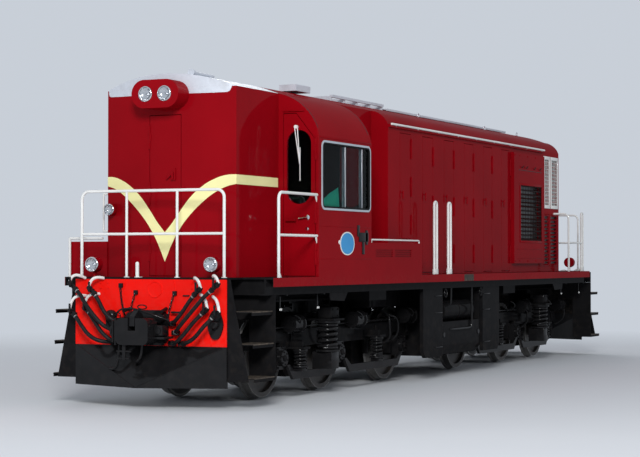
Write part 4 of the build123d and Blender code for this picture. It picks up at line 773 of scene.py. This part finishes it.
for end, side in CORNERS:
    for pipe, hose in HOSE_SETS:
        pipe, hose = on_head(end, side, *pipe), on_head(end, side, *hose)
        add_tubes(pipes, [pipe], 0.0175)
        add_tubes(hoses, [hose], 0.0235, sides=4)
        top, foot, last = Vector(pipe[-1]), Vector(hose[0]), Vector(hose[-1])
        way = (foot - top).normalized()
        add_rod(cocks, top - way * 0.012, foot + way * 0.03, 0.026, 12)
        add_collar(cocks, top, way, 0.01, 0.035, 0.036, 6)
        add_collar(cocks, foot, way, -0.005, 0.022, 0.034, 10)
        middle = (top + foot) / 2
        add_collar(cocks, middle, Vector(ALONG), -0.045, 0.045, 0.02, 10)
        lever = middle + Vector((end * 0.05, 0, 0))
        add_box(cocks, spread(lever.x, 0.006), spread(lever.y, 0.012), (lever.z - 0.015, lever.z + 0.1),
                0.003)
        add_collar(cocks, last, (last - Vector(hose[-2])).normalized(), -0.05, 0.018, 0.032, 12)
        add_collar(clamps, foot, (Vector(hose[1]) - foot).normalized(), 0.035, 0.048, 0.0265, 12)
        add_box(cocks, spread(last.x, 0.018), spread(last.y, 0.05), (last.z - 0.03, last.z + 0.025), 0.006)
put("end_pipes", pipes, "white")
put("hose_cocks", cocks, "black_clean")
put("hose_clamps", clamps, "steel")
hose_piece = put("air_hoses", hoses, "rubber")
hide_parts("brake_hoses")

# On the headstocks: chains, small brackets, the jumper sockets, a ring pad and bolts
# Chain: top and foot, (out, across, height)
CHAINS = (((0.03, -0.371, 1.384), (0.05, -0.291, 1.02)), ((0.03, -0.172, 1.306), (0.05, -0.238, 1.0)),
          ((0.03, 0.337, 1.299), (0.05, 0.262, 0.983)))
LINK_PITCH, LINK = 0.036, (0.052, 0.03, 0.0052)      # length, width and wire of a link
chains, trim, pads = bmesh.new(), bmesh.new(), bmesh.new()
for end in SIDES:
    out = (end, 0, 0)
    for chain in CHAINS:
        top, foot = [Vector(place) for place in on_head(end, 1, *chain)]
        run = foot - top
        count = int(run.length / LINK_PITCH)
        for number in range(count):
            share = (number + 0.5) / count
            sag = Vector((end * 0.02 * sin(pi * share), 0, 0))
            across = ALONG if number % 2 else run.cross(Vector(ALONG))
            add_link(chains, top + run * share + sag, run, across, *LINK)
        add_box(trim, (top.x - end * 0.03, top.x + end * 0.006), spread(top.y, 0.022),
                (top.z - 0.02, top.z + 0.03), 0.004)
    add_box(trim, proud(end, AIR, 0.018), (0.44, 0.52), (1.27, 1.285), 0.003)
    for across, height in ((0.324, 1.09), (0.427, 1.09), (0.337, 0.95)):
        add_rod(trim, *on_head(end, 1, (0, across, height), (0.06, across, height)), 0.012, 10)
    add_box(trim, proud(end, 0.045, 0.062), (0.318, 0.433), (1.078, 1.1), 0.004)
    add_lathe(pads, [(0, 0.004), (0.078, 0.004), (0.084, 0.009), (0.093, 0.009), (0.098, 0.0), (0, 0.0)],
              (end * HALF, 0.07, 1.345), out, 32)
    for side in SIDES:
        add_rod(pads, *on_head(end, side, (0.002, 0.34, 1.33), (0.002, 0.31, 1.455)), 0.004, 8)
        bolts = [(across, height) for across in (0.55, 0.65) for height in (0.76, 1.36, 1.42)]
        for across, height in bolts + [(0.23, 0.73), (0.5, 0.73), (0.8, 0.73)]:
            add_bolt(pads, (end * HALF, side * across, height), out, 0.012)
put("coupler_chains", chains, "black_clean")
put("headstock_brackets", trim, "black_clean")
put("headstock_bolts", pads, "signal_red", angle=30)
COVER = ((0.784, 0.87), (0.86, 0.79), (0.936, 0.87), (0.936, 1.04), (0.86, 1.12), (0.784, 1.04))
bm = bmesh.new()
for end in SIDES:
    out = (end, 0, 0)
    add_plate(bm, COVER, 0.03, on_end(end * (HALF + 0.0155)), ())
    add_lathe(bm, [(0, 0.055), (0.035, 0.05), (0.05, 0.03), (0.05, 0.0)],
              (end * (HALF + 0.03), 0.86, 0.955), out, 16)
    add_lathe(bm, [(0, 0.075), (0.03, 0.073), (0.055, 0.062), (0.068, 0.04), (0.068, 0.0), (0, 0.0)],
              (end * (HALF + AIR), -0.5, 1.04), out)
    add_box(bm, proud(end, AIR, 0.045), (-0.56, -0.44), (0.9, 1.03), 0.012)
    add_tubes(bm, [on_head(end, 1, (0.05, -0.435, 1.075), (0.06, -0.37, 1.085), (0.06, -0.345, 1.04),
                           (0.05, -0.35, 0.99))], 0.007)
put("jumper_covers", bm, "black_clean")

# Coupler dressing: flange bolts, side jaws, a small box, uncoupling gear and a drooping pipe
HANG_OUT, HANG_Y = 0.34, -0.13           # the rod with two cross bars, under the coupler's head
bm = bmesh.new()
for end in SIDES:
    for side in SIDES:
        for height in (0.75, 0.85, 1.02, 1.08):
            add_bolt(bm, (end * (HALF + 0.036), side * 0.205, height), (end, 0, 0), 0.015)
        add_rod(bm, *on_head(end, side, (0.02, 0.23, 1.13), (0.16, 0.25, 1.1)), 0.02, 10)
    for across, out, low, high in ((-0.245, 0.35, 0.72, 1.03), (-0.305, 0.31, 0.75, 1.0)):
        add_box(bm, proud(end, 0.1, out), spread(across, 0.013), (low, high), 0.01)
    add_lathe(bm, [(0, 0.035), (0.05, 0.033), (0.072, 0.022), (0.075, 0.0), (0.03, -0.05), (0, -0.05)],
              (end * (HALF + 0.24), -0.318, 0.88), (0, -1, 0), 20)
    add_box(bm, proud(end, 0.14, 0.27), (0.215, 0.325), (0.83, 0.95), 0.012)
    add_box(bm, proud(end, 0.08, 0.3), (0.205, 0.36), (0.795, 0.822), 0.006)
    add_rod(bm, *on_head(end, 1, (0.275, 0.27, 0.89), (0.287, 0.27, 0.89)), 0.035, 16)
    add_lathe(bm, round_ring(0.05, 0.007), (end * (HALF + 0.2), 0.02, 1.15), (end * 0.4, 0.3, 1), 20,
              ring=True)
    add_tubes(bm, [on_head(end, 1, (0.14, -0.36, 1.02), (0.24, -0.3, 1.12), (0.26, -0.05, 1.14),
                           (0.24, 0.2, 1.06), (0.14, 0.34, 1.0))], 0.011)
    add_tubes(bm, [on_head(end, 1, (0.26, 0.06, 0.74), (0.27, 0.06, 0.6), (0.24, -0.04, 0.52),
                           (0.12, -0.09, 0.5)),
                   on_head(end, 1, (0.2, -0.27, 0.74), (0.24, -0.27, 0.52), (0.24, -0.32, 0.44),
                           (0.2, -0.4, 0.45))], 0.016)
    add_rod(bm, *on_head(end, 1, (HANG_OUT, HANG_Y, 0.76), (HANG_OUT, HANG_Y, 0.56)), 0.022, 12)
    for height, half in ((0.655, 0.095), (0.575, 0.075)):
        add_rod(bm, *on_head(end, 1, (HANG_OUT, HANG_Y - half, height), (HANG_OUT, HANG_Y + half, height)),
                0.012, 10)
put("coupler_gear", bm, "black_clean")

# Weld lines down the ploughs' folds, from the upper corner toward the point
bm = bmesh.new()
for end, side in CORNERS:
    corner, point = Vector((end * 6.752, side * 0.985, 0.706)), Vector((end * 7.078, 0, 0.25))
    add_rod(bm, corner.lerp(point, 0.01), corner.lerp(point, 0.98), 0.006, 8)
put("plough_creases", bm, "black_clean")

# Deck: white post, rail feet and gussets, a grab rail on the nose, a sleeve on the low box's rail
POST = (6.722, -0.18)
POST_TOP = 1.64
GUSSETS = [(x, reach, side, height - 0.012, height - 0.1)
           for x, reach, side in ((CAB_FRONT + AIR, 0.052, 1), (CAB_REAR - AIR, -0.052, -1))
           for height in (2.452, 1.965)]
GUSSETS += [(x_at(0.552), -0.07, 1, DECK + 0.001, DECK + 0.1),
            (x_at(4.31), 0.07, -1, DECK + 0.001, DECK + 0.1)]
GRAB_X, BOX_RAIL_X, BOX_RAIL_Y, BOX_RAIL_TOP = 6.2, 6.31, DECK_EDGE - 0.03, 1.936
bm = bmesh.new()
add_rod(bm, (*POST, DECK), (*POST, POST_TOP), 0.021, 14)
add_lathe(bm, [(0, 0.021), (0.011, 0.018), (0.018, 0.011), (0.021, 0.0), (0, 0.0)], (*POST, POST_TOP),
          UP, 14)
add_box(bm, (6.69, 6.745), (-0.205, -0.13), (DECK + 0.0003, DECK + 0.008), 0.002)
for side in SIDES:
    for station in (5.4, 5.93, 12.28):
        along_box(bm, *spread(station, 0.062), (side * 1.345, side * 1.383), (DECK, DECK + 0.075), 0.006)
    for y in (0.332, 0.936):
        for end in SIDES:
            add_lathe(bm, [(0, 0.0), (0.034, 0.0), (0.034, 0.006), (0.02, 0.01), (0, 0.01)],
                      (end * (HALF - 0.045), side * y, DECK), UP, 14)
for x, reach, side, level, tip in GUSSETS:
    add_plate(bm, [(x, level), (x + reach, level), (x, tip)], 0.008, on_side(side * RAIL_Y))
add_tubes(bm, [beside(GRAB_X, -1, (0, NOSE_HALF, 2.46), (0, 0.93, 2.46), (0, 0.958, 2.46), (0, 0.958, 2.43),
                      (0, 0.958, 2.05), (0, 0.958, 2.02), (0, 0.93, 2.02), (0, NOSE_HALF, 2.02))], 0.012)
add_tubes(bm, [beside(BOX_RAIL_X, -1, (0, BOX_RAIL_Y, DECK + 0.0003), (0, BOX_RAIL_Y, BOX_RAIL_TOP - 0.03),
                      (0, BOX_RAIL_Y, BOX_RAIL_TOP), (0, BOX_RAIL_Y - 0.03, BOX_RAIL_TOP),
                      (0, NOSE_HALF + 0.042, BOX_RAIL_TOP))], 0.0165)
put("white_fittings", bm, "white")

# Step treads, (height, reach across), each a thin plate with a lip, and a patch on the fascia
TREADS = ((1.1, 0.3), (0.738, 0.315), (0.36, 0.33))
STEP_INNER, LIP = 0.991, 0.012
bm = bmesh.new()
for end, side in CORNERS:
    for level, reach in TREADS:
        span = (end * x_at(0.55), end * (HALF - 0.045))
        inner, outer = STEP_INNER + 0.02, STEP_INNER + reach + 0.002
        add_box(bm, span, (side * inner, side * (outer - LIP)), (level, level + 0.004), 0.001)
        add_box(bm, span, (side * (outer - LIP), side * outer), (level - 0.008, level + 0.006), 0.002)
put("step_treads", bm, "step", smooth=False)
bm = bmesh.new()
for side in SIDES:
    along_box(bm, 6.46, 6.84, (side * 1.389, side * 1.3925), (1.378, 1.472), 0.003)
put("filler_patches", bm, "step", smooth=False)

# White gutter rail along the wide hood with its brackets, lifting eyes, edges of the roof walk
bm = bmesh.new()
for side in SIDES:
    add_rod(bm, (HOOD_START - 0.03, side * 1.141, 3.492), (GUTTER_END, side * 1.141, 3.492), 0.015, 12)
    for number in range(9):
        add_box(bm, spread(HOOD_START - 0.2 - number * 0.78, 0.012), (side * 1.1, side * 1.14),
                (3.47, 3.486), 0.002)
put("gutter_rails", bm, "white")
bm = bmesh.new()
for side in SIDES:
    for station in (7.1, 9.98, 11.6):
        add_lathe(bm, round_ring(0.03, 0.008), (x_at(station), side * 0.42, CROWN - 0.012), ACROSS, 16,
                  ring=True)
    along_box(bm, 6.3, 11.5, (side * 0.238, side * 0.256), (CROWN + 0.004, CROWN + 0.038), 0.004)
put("roof_edges", bm, "silver")

# Grilles: wire mesh over the radiator, white frames and mesh over the upper rear ones
UPPER_GRILLES = ((10.96, 11.3), (11.34, 11.74))
WIRE = 0.0035


def add_mesh(bm, start, end, foot, top, y, pitch):
    """Crossed wires between two stations and heights."""
    across = round((end - start) / pitch)
    for number in range(1, across):
        x = x_at(start + (end - start) * number / across)
        add_rod(bm, (x, y, foot), (x, y, top), WIRE, 6)
    up = round((top - foot) / pitch)
    for number in range(1, up):
        z = foot + (top - foot) * number / up
        add_rod(bm, (x_at(start), y + 0.6 * WIRE, z), (x_at(end), y + 0.6 * WIRE, z), WIRE, 6)


dark, pale, red = bmesh.new(), bmesh.new(), bmesh.new()
for side in SIDES:
    add_mesh(dark, 9.64, 10.69, 1.985, 2.87, side * (CASING_FACE - 0.001), 0.082)
    for start, end in UPPER_GRILLES:
        add_mesh(pale, start + 0.03, end - 0.03, 2.57, 3.375, side * (HOOD_FACE + 0.001), 0.062)
        face = (side * (HOOD_FACE + AIR), side * (HOOD_FACE + 0.012))
        start, end = start + 0.003, end - 0.003
        for height in ((2.535, 2.59), (3.35, 3.405)):
            along_box(pale, start, end, face, height, 0.003)
        for span in ((start, start + 0.047), (end - 0.047, end)):
            along_box(pale, *span, face, (2.5905, 3.3495), 0.003)
    surface, near, seam, strip, rim, hook = [
        side * (CASING_FACE + out) for out in (0.0, 0.0003, 0.002, 0.004, 0.008, 0.03)]
    along_box(dark, 9.55, 10.72, (near, seam), (3.106, 3.114))
    for station in (9.69, 9.9, 10.3, 10.58):
        add_tubes(dark, [[(x_at(station), surface, 3.15), (x_at(station), hook, 3.155),
                          (x_at(station + 0.02), hook, 3.18)]], 0.007)
    for height in (1.85, 1.7):
        along_box(red, 9.45, 10.72, (near, strip), spread(height, 0.004), 0.001)
    for start, end in ((9.6, 9.635), (10.695, 10.73)):
        along_box(red, start, end, (near, rim), (1.95, 2.905), 0.003)
    for height in ((1.95, 1.985), (2.87, 2.905)):
        along_box(red, 9.636, 10.694, (near, rim), height, 0.003)
    add_bolts(red, map(x_at, (9.37, 9.6, 10.0, 10.4, 10.82)), surface, (1.66, 3.34), side, 0.009)
put("radiator_mesh", dark, "black_clean", angle=30)
put("upper_mesh", pale, "white", angle=30)
put("casing_trim", red, "deep_red", angle=30)

# Springs: true helical coils in place of the plain ones
# station, across, coil radius, wire, foot, top, turns
SPRINGS = ((2.56, 1.04, 0.14, 0.0215, 0.545, 0.93, 5.5), (1.99, 0.94, 0.084, 0.014, 0.372, 0.6, 4.5),
           (4.33, 0.94, 0.084, 0.014, 0.372, 0.66, 5.5))
SPRING_SEAT, SPRING_CAP = 0.026, 0.032       # thickness of the plates below and above a coil
COIL_STEPS = 14                              # points in a turn


def helix(x, y, radius, foot, top, turns):
    """Points of a coil with closed, flattened end turns."""
    count = int(turns * COIL_STEPS)
    points = []
    for step in range(count + 1):
        share = step / count
        rise = min(1.0, max(0.0, (share * turns - 0.6) / (turns - 1.2)))
        angle = 2 * pi * share * turns
        points.append((x + radius * cos(angle), y + radius * sin(angle), foot + (top - foot) * rise))
    return points


def add_spring(bm, x, side, across, radius, wire, foot, top, turns):
    """A coil between its two plates, on a block that the side frame or beam carries."""
    y = side * across
    line = helix(x, y, radius - wire, foot + SPRING_SEAT + wire, top - SPRING_CAP - wire, turns)
    add_tubes(bm, [line], wire, order=4, sides=3, steps=2)
    inner, outer = radius * 1.1, radius * 1.13
    for low, high in ((foot, foot + SPRING_SEAT), (top - SPRING_CAP, top - AIR)):
        add_lathe(bm, [(0, low), (inner, low), (outer, low + 0.004), (outer, high - 0.004), (inner, high),
                       (0, high)], (x, y, 0), UP, 28)
    reach = radius * 0.78
    add_box(bm, spread(x, reach), (side * 0.882, side * (across + reach)), (0.3315, foot - AIR), 0.008)


for name, way in ENDS:
    bm = bmesh.new()
    for station, *measures in SPRINGS:
        for side in SIDES:
            add_spring(bm, way * x_at(station), side, *measures)
    spring_piece = put(f"helical_springs_{name}", bm, "black_clean", f"bogie_{name}")
    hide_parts(f"bogie_springs_{name}")

# Bogie dressing
WHEELS = (1.61, 3.27, 5.35)                                  # stations of the axles
SHOES = ((1.61, 1), (3.27, -1), (3.27, 1), (5.35, -1))       # behind or before a wheel
BOX_FACE, LUG_FACE = 0.922, 0.88
BRACKETS, BRACKET_FACE = (1.18, 2.04, 2.86, 4.62, 5.72), 0.815
SPRING_HOOD = 2.56                                           # over the middle of the large spring
BRAKE_PIPE = ((1.1, 0.83, 0.86), (2.2, 0.84, 0.875), (3.2, 0.83, 0.86), (4.4, 0.84, 0.87),
              (5.75, 0.83, 0.86))


def axlebox_dressing(bm, x, side):
    """Cover bolts, cap and lug bolts of one axlebox."""
    for turn in range(6):
        angle = turn * pi / 3 + 0.3
        add_bolt(bm, (x + 0.075 * cos(angle), side * BOX_FACE, AXLE_HEIGHT + 0.075 * sin(angle)),
                 (0, side, 0), 0.01)
    add_lathe(bm, [(0, 0.018), (0.03, 0.016), (0.038, 0.008), (0.038, 0)],
              (x, side * BOX_FACE, AXLE_HEIGHT), (0, side, 0), 16)
    add_bolts(bm, spread(x, 0.105), side * LUG_FACE, spread(AXLE_HEIGHT, 0.11), side, 0.013)


def bogie_fittings(bm, way, side):
    """Bolts of the axleboxes, brake shoes and hangers, brackets and the spring's hood, on one side."""
    for station in WHEELS:
        axlebox_dressing(bm, way * x_at(station), side)
    for station, behind in SHOES:
        near = way * x_at(station + 0.53 * behind)
        add_box(bm, spread(near, 0.03), (side * 0.52, side * 0.6), (0.4, 0.66), 0.012)
        add_rod(bm, (near - way * behind * 0.02, side * 0.56, 0.53),
                (near - way * behind * 0.06, side * 0.6, 0.9), 0.016, 10)
    for station in BRACKETS:
        x = way * x_at(station)
        add_box(bm, spread(x, 0.035), (side * 0.7905, side * BRACKET_FACE), (0.66, 0.8), 0.006)
        add_bolts(bm, (x,), side * BRACKET_FACE, (0.69, 0.77), side, 0.012)
    x = way * x_at(SPRING_HOOD)
    add_box(bm, spread(x, 0.12), (side * 0.96, side * 1.15), (0.9565, 1.1), 0.018)
    add_bolts(bm, spread(x, 0.08), side * 1.15, (0.985, 1.07), side, 0.012)


def bogie_pipes(bm, way, side):
    """The brake pipe along one side frame, and the hoses that leave it."""
    add_tubes(bm, [toward(way, side, *BRAKE_PIPE)], 0.014)
    for station in (1.88, 3.72, 5.48):
        add_tubes(bm, [beside(way * x_at(station), side, (0, 0.84, 0.87), (0, 0.99, 0.88),
                              (0.02, 1.02, 0.98), (0.05, 0.95, 1.01))], 0.01)
    for station, drop in ((2.9, 0.62), (4.78, 0.58)):
        add_tubes(bm, [beside(way * x_at(station), side, (0, 0.8, 0.99), (0, 0.93, 0.95),
                              (0.03, 0.95, 0.8), (-0.05, 0.93, drop), (-0.02, 0.8, 0.55))], 0.015)
    for a, b in ((1.28, 0.98), (4.86, 5.02)):
        add_tubes(bm, [toward(way, side, (a, 0.8, 0.93), (a, 0.95, 0.93), (b, 0.97, 0.86), (b, 0.96, 0.62),
                              (b, 0.8, 0.56))], 0.013)


for name, way in ENDS:
    bm, pipes = bmesh.new(), bmesh.new()
    for side in SIDES:
        bogie_fittings(bm, way, side)
        bogie_pipes(pipes, way, side)
    put(f"bogie_fittings_{name}", bm, "black", f"bogie_{name}", angle=30)
    put(f"bogie_pipes_{name}", pipes, "black_clean", f"bogie_{name}")

# Cab: seams, drip rail and sashes
bm = bmesh.new()
for side in SIDES:
    for height in (2.082, 1.692):
        add_box(bm, (CAB_FRONT - 0.004, CAB_REAR + 0.004), (side * 1.3885, side * 1.3925),
                spread(height, 0.004), 0.0015)
    add_box(bm, (CAB_FRONT - 0.03, CAB_REAR + 0.03), (side * 1.388, side * 1.3975), (3.135, 3.15), 0.003)
for x, side in ((CAB_FRONT, 1), (CAB_REAR, -1)):
    add_box(bm, (x + side * AIR, x + side * 0.02), (side * 0.92, side * 1.2), (3.452, 3.462), 0.002)
put("cab_seams", bm, "deep_red")
bm = bmesh.new()
for side in SIDES:
    for start, end in ((2.324, 2.35), (2.832, 2.856)):
        along_box(bm, start, end, (side * 1.3785, side * 1.387), (2.325, 3.06), 0.002)
put("window_sashes", bm, "aluminium")

# On each cab door: a wiper with two arms, a lock and a lever; the front door is on the left
for name, x, side in (("front", CAB_FRONT, 1), ("rear", CAB_REAR, -1)):
    bm = bmesh.new()
    for across, height in ((1.08, 3.27), (1.12, 3.25)):
        add_rod(bm, (x + side * 0.028, side * across, height), (x + side * 0.022, side * 1.147, 2.82),
                0.006, 8)
    add_rod(bm, (x + side * 0.006, side * 1.1, 3.265), (x + side * 0.04, side * 1.1, 3.265), 0.022, 12)
    add_box(bm, (x + side * 0.008, x + side * 0.016), (side * 1.142, side * 1.152), (2.62, 3.02), 0.002)
    put(f"wiper_{name}", bm, "white", f"cab_door_{name}")
    bm = bmesh.new()
    add_lathe(bm, [(0, 0.012), (0.02, 0.01), (0.026, 0.0)], (x + side * AIR, side * 1.235, 2.05),
              (side, 0, 0), 14)
    add_lathe(bm, [(0, 0.03), (0.012, 0.03), (0.014, 0.01), (0.03, 0.006), (0.032, 0.0)],
              (x + side * AIR, side * 1.24, 2.185), (side, 0, 0), 14)
    add_rod(bm, (x + side * 0.026, side * 1.245, 2.188), (x + side * 0.03, side * 1.135, 2.172), 0.01, 10)
    put(f"cab_lever_{name}", bm, "chrome", f"cab_door_{name}")

# Oval plate on the left side, left blank, with a rim and two small clips beside it
OVAL_X, OVAL_Z, OVAL_HALF, OVAL_RISE = 4.365, 1.88, 0.2, 0.135
for name, paint_name, grow, out in (("plate_rim", "white", 1.06, 0.0025),
                                    ("plate_face", "blue", 0.95, 0.0045)):
    half, rise = OVAL_HALF * grow, OVAL_RISE * grow
    bm = bmesh.new()
    add_plate(bm, [(OVAL_X + half, OVAL_Z), (OVAL_X, OVAL_Z - rise), (OVAL_X - half, OVAL_Z),
                   (OVAL_X, OVAL_Z + rise)], 0.003, on_side(DECK_EDGE + out - 0.001), (), 16)
    if name == "plate_rim":
        along_box(bm, 2.12, 2.19, (DECK_EDGE + AIR, DECK_EDGE + 0.007), (1.885, 1.905), 0.003)
        along_box(bm, 2.135, 2.155, (DECK_EDGE + AIR, DECK_EDGE + 0.008), (1.87, 1.92), 0.003)
    put(name, bm, paint_name)
bm = bmesh.new()
for start, end, low, high in ((2.68, 2.75, 1.97, 2.11), (2.73, 3.02, 1.905, 2.02), (2.83, 2.9, 1.75, 1.915),
                              (2.93, 3.00, 1.87, 2.05)):
    along_box(bm, start, end, (1.3905, 1.3985), (low, high), 0.003)
put("lamp_bracket", bm, "black_clean")

# Inside the cab: a blind at the left window, a round pad and a back pad on each stool
bm = bmesh.new()
BLIND = ((1.7, 2.3), (1.72, 2.37), (1.98, 2.48), (2.237, 2.561), (2.276, 2.3))
add_plate(bm, [(x_at(station), height) for station, height in BLIND], 0.004, on_side(1.332))
put("green_blind", bm, "green", smooth=False)
STOOL_X, STOOL_TOP, PAD_RADIUS, PIPING_RISE = 4.27, 2.0355, 0.229, 0.022
for name, stool_y in (("left", 0.48), ("right", -0.56)):
    centre = (STOOL_X, stool_y, STOOL_TOP)
    bm = bmesh.new()
    add_lathe(bm, [(0, 0.0), (0.205, 0.0), (0.224, 0.01), (PAD_RADIUS, PIPING_RISE), (0.222, 0.034),
                   (0.19, 0.043), (0.13, 0.049), (0.06, 0.051), (0, 0.0515)], centre, UP, 36)
    add_lathe(bm, round_ring(PAD_RADIUS, 0.004, PIPING_RISE), centre, UP, 36, ring=True)
    put(f"stool_pad_{name}", bm, "vinyl")
    bm = bmesh.new()
    add_box(bm, (4.1055, 4.135), spread(stool_y, 0.165), (2.12, 2.45), 0.012, 4)
    put(f"back_pad_{name}", bm, "vinyl")

# Blower ducts under the deck, over each bogie's inner half, hung from the cross-bearers
DUCT_IN, DUCT_OUT, DUCT_FOOT, FLANGE = 0.55, 0.8, 1.04, 0.01
bm = bmesh.new()
for end, side in CORNERS:
    add_box(bm, (end * 0.82, end * 2.33), (side * DUCT_IN, side * DUCT_OUT), (DUCT_FOOT, UNDER_DECK), 0.014)
    for x in (0.9, 1.3, 1.72, 2.24):
        add_box(bm, spread(end * x, 0.018), (side * (DUCT_IN - FLANGE), side * (DUCT_OUT + FLANGE)),
                (DUCT_FOOT - FLANGE, UNDER_DECK - 0.001), 0.003)
        for y in (DUCT_IN + 0.05, DUCT_OUT - 0.05):
            add_bolt(bm, (end * x, side * y, DUCT_FOOT - FLANGE), (0, 0, -1), 0.007)
put("blower_ducts", bm, "black", angle=35)

# Between the bogies: rivets and ribs on the skirts, hand wheels, hanging plates and tags, pipes
RIVETS, RIVET_FOOT, RIVET_PITCH = 19, 0.36, 0.045
HAND_WHEEL_X, HAND_WHEEL_Y, HAND_WHEEL_Z = 6.03, 1.27, 1.21
TANK_PIPE, TANK_PIPE_Y = 7.13, 1.25
HANGING_PLATE = ((2.09, 1.279), (2.62, 1.279), (2.52, 1.175), (2.12, 1.19))


def skirt_dressing(bm, tags, plates, side, way):
    """Rivets, ribs, hand wheel, hangers and a hanging plate beside one end of the tank."""
    for number in range(RIVETS):
        height = RIVET_FOOT + RIVET_PITCH * number
        add_lathe(bm, [(0, 0.006), (0.006, 0.0045), (0.008, 0.0)],
                  (way * x_at(5.905), side * SKIRT_FACE, height), (0, side, 0), 8)
    for height in (1.175, 0.94, 0.46):
        add_box(bm, (way * x_at(5.63), way * x_at(5.9)),
                (side * (SKIRT_FACE - 0.001), side * (SKIRT_FACE + 0.012)), spread(height, 0.007), 0.003)
    hub = toward(way, side, (HAND_WHEEL_X, HAND_WHEEL_Y, HAND_WHEEL_Z))[0]
    add_lathe(bm, round_ring(0.056, 0.007), hub, (0, side, 0), 24, ring=True)
    add_rod(bm, *beside(hub[0], side, (0, 1.15, HAND_WHEEL_Z), (0, 1.275, HAND_WHEEL_Z)), 0.011, 10)
    for turn in range(3):
        angle = turn * 2 * pi / 3
        rim = Vector((cos(angle), 0, sin(angle))) * 0.054
        add_rod(bm, hub, Vector(hub) + rim, 0.004, 6)
    for station in (0.905, 1.918):
        x = way * x_at(station)
        add_box(bm, spread(x, 0.012), (side * 1.2, side * 1.2995), (1.268, UNDER_DECK), 0.002)
        add_box(bm, spread(x, 0.012), (side * 1.2, side * 1.208), (1.09, 1.27), 0.002)
        add_box(tags, (x - 0.036, x + 0.022), (side * 1.2085, side * 1.216), (1.095, 1.12), 0.002)
    add_plate(plates, [(way * x_at(station), height) for station, height in HANGING_PLATE], 0.012,
              on_side(side * 1.285))


def tank_pipes(bm, side):
    """The filler pipe down to the tank with its unions, a short vent, and two plugs."""
    add_tubes(bm, [toward(1, side, (TANK_PIPE, TANK_PIPE_Y, 1.279), (TANK_PIPE, TANK_PIPE_Y, 1.0),
                          (TANK_PIPE, TANK_PIPE_Y, 0.72), (7.1, TANK_PIPE_Y, 0.69),
                          (6.7, TANK_PIPE_Y, 0.69), (6.3, TANK_PIPE_Y, 0.69), (6.28, 1.228, 0.69)),
                   toward(1, side, (6.2, 1.285, 1.279), (6.2, 1.285, 1.1), (6.2, 1.27, 1.03),
                          (6.2, 1.15, 1.02))], 0.014)
    for height in (1.22, 1.06, 0.9, 0.78):
        add_rod(bm, *toward(1, side, (TANK_PIPE, TANK_PIPE_Y, height),
                            (TANK_PIPE, TANK_PIPE_Y, height + 0.025)), 0.021, 8)
    for station in (6.05, 7.45):
        add_lathe(bm, [(0, 0.012), (0.035, 0.012), (0.04, 0.006), (0.04, 0.0)],
                  (x_at(station), side * 1.2303, 0.62), (0, side, 0), 16)


bm, tags, plates = bmesh.new(), bmesh.new(), bmesh.new()
for side in SIDES:
    for way in SIDES:
        skirt_dressing(bm, tags, plates, side, way)
    tank_pipes(bm, side)
put("tank_fittings", bm, "black_clean", angle=35)
put("sill_plates", plates, "black", smooth=False)
put("pipe_tags", tags, "white", smooth=False)
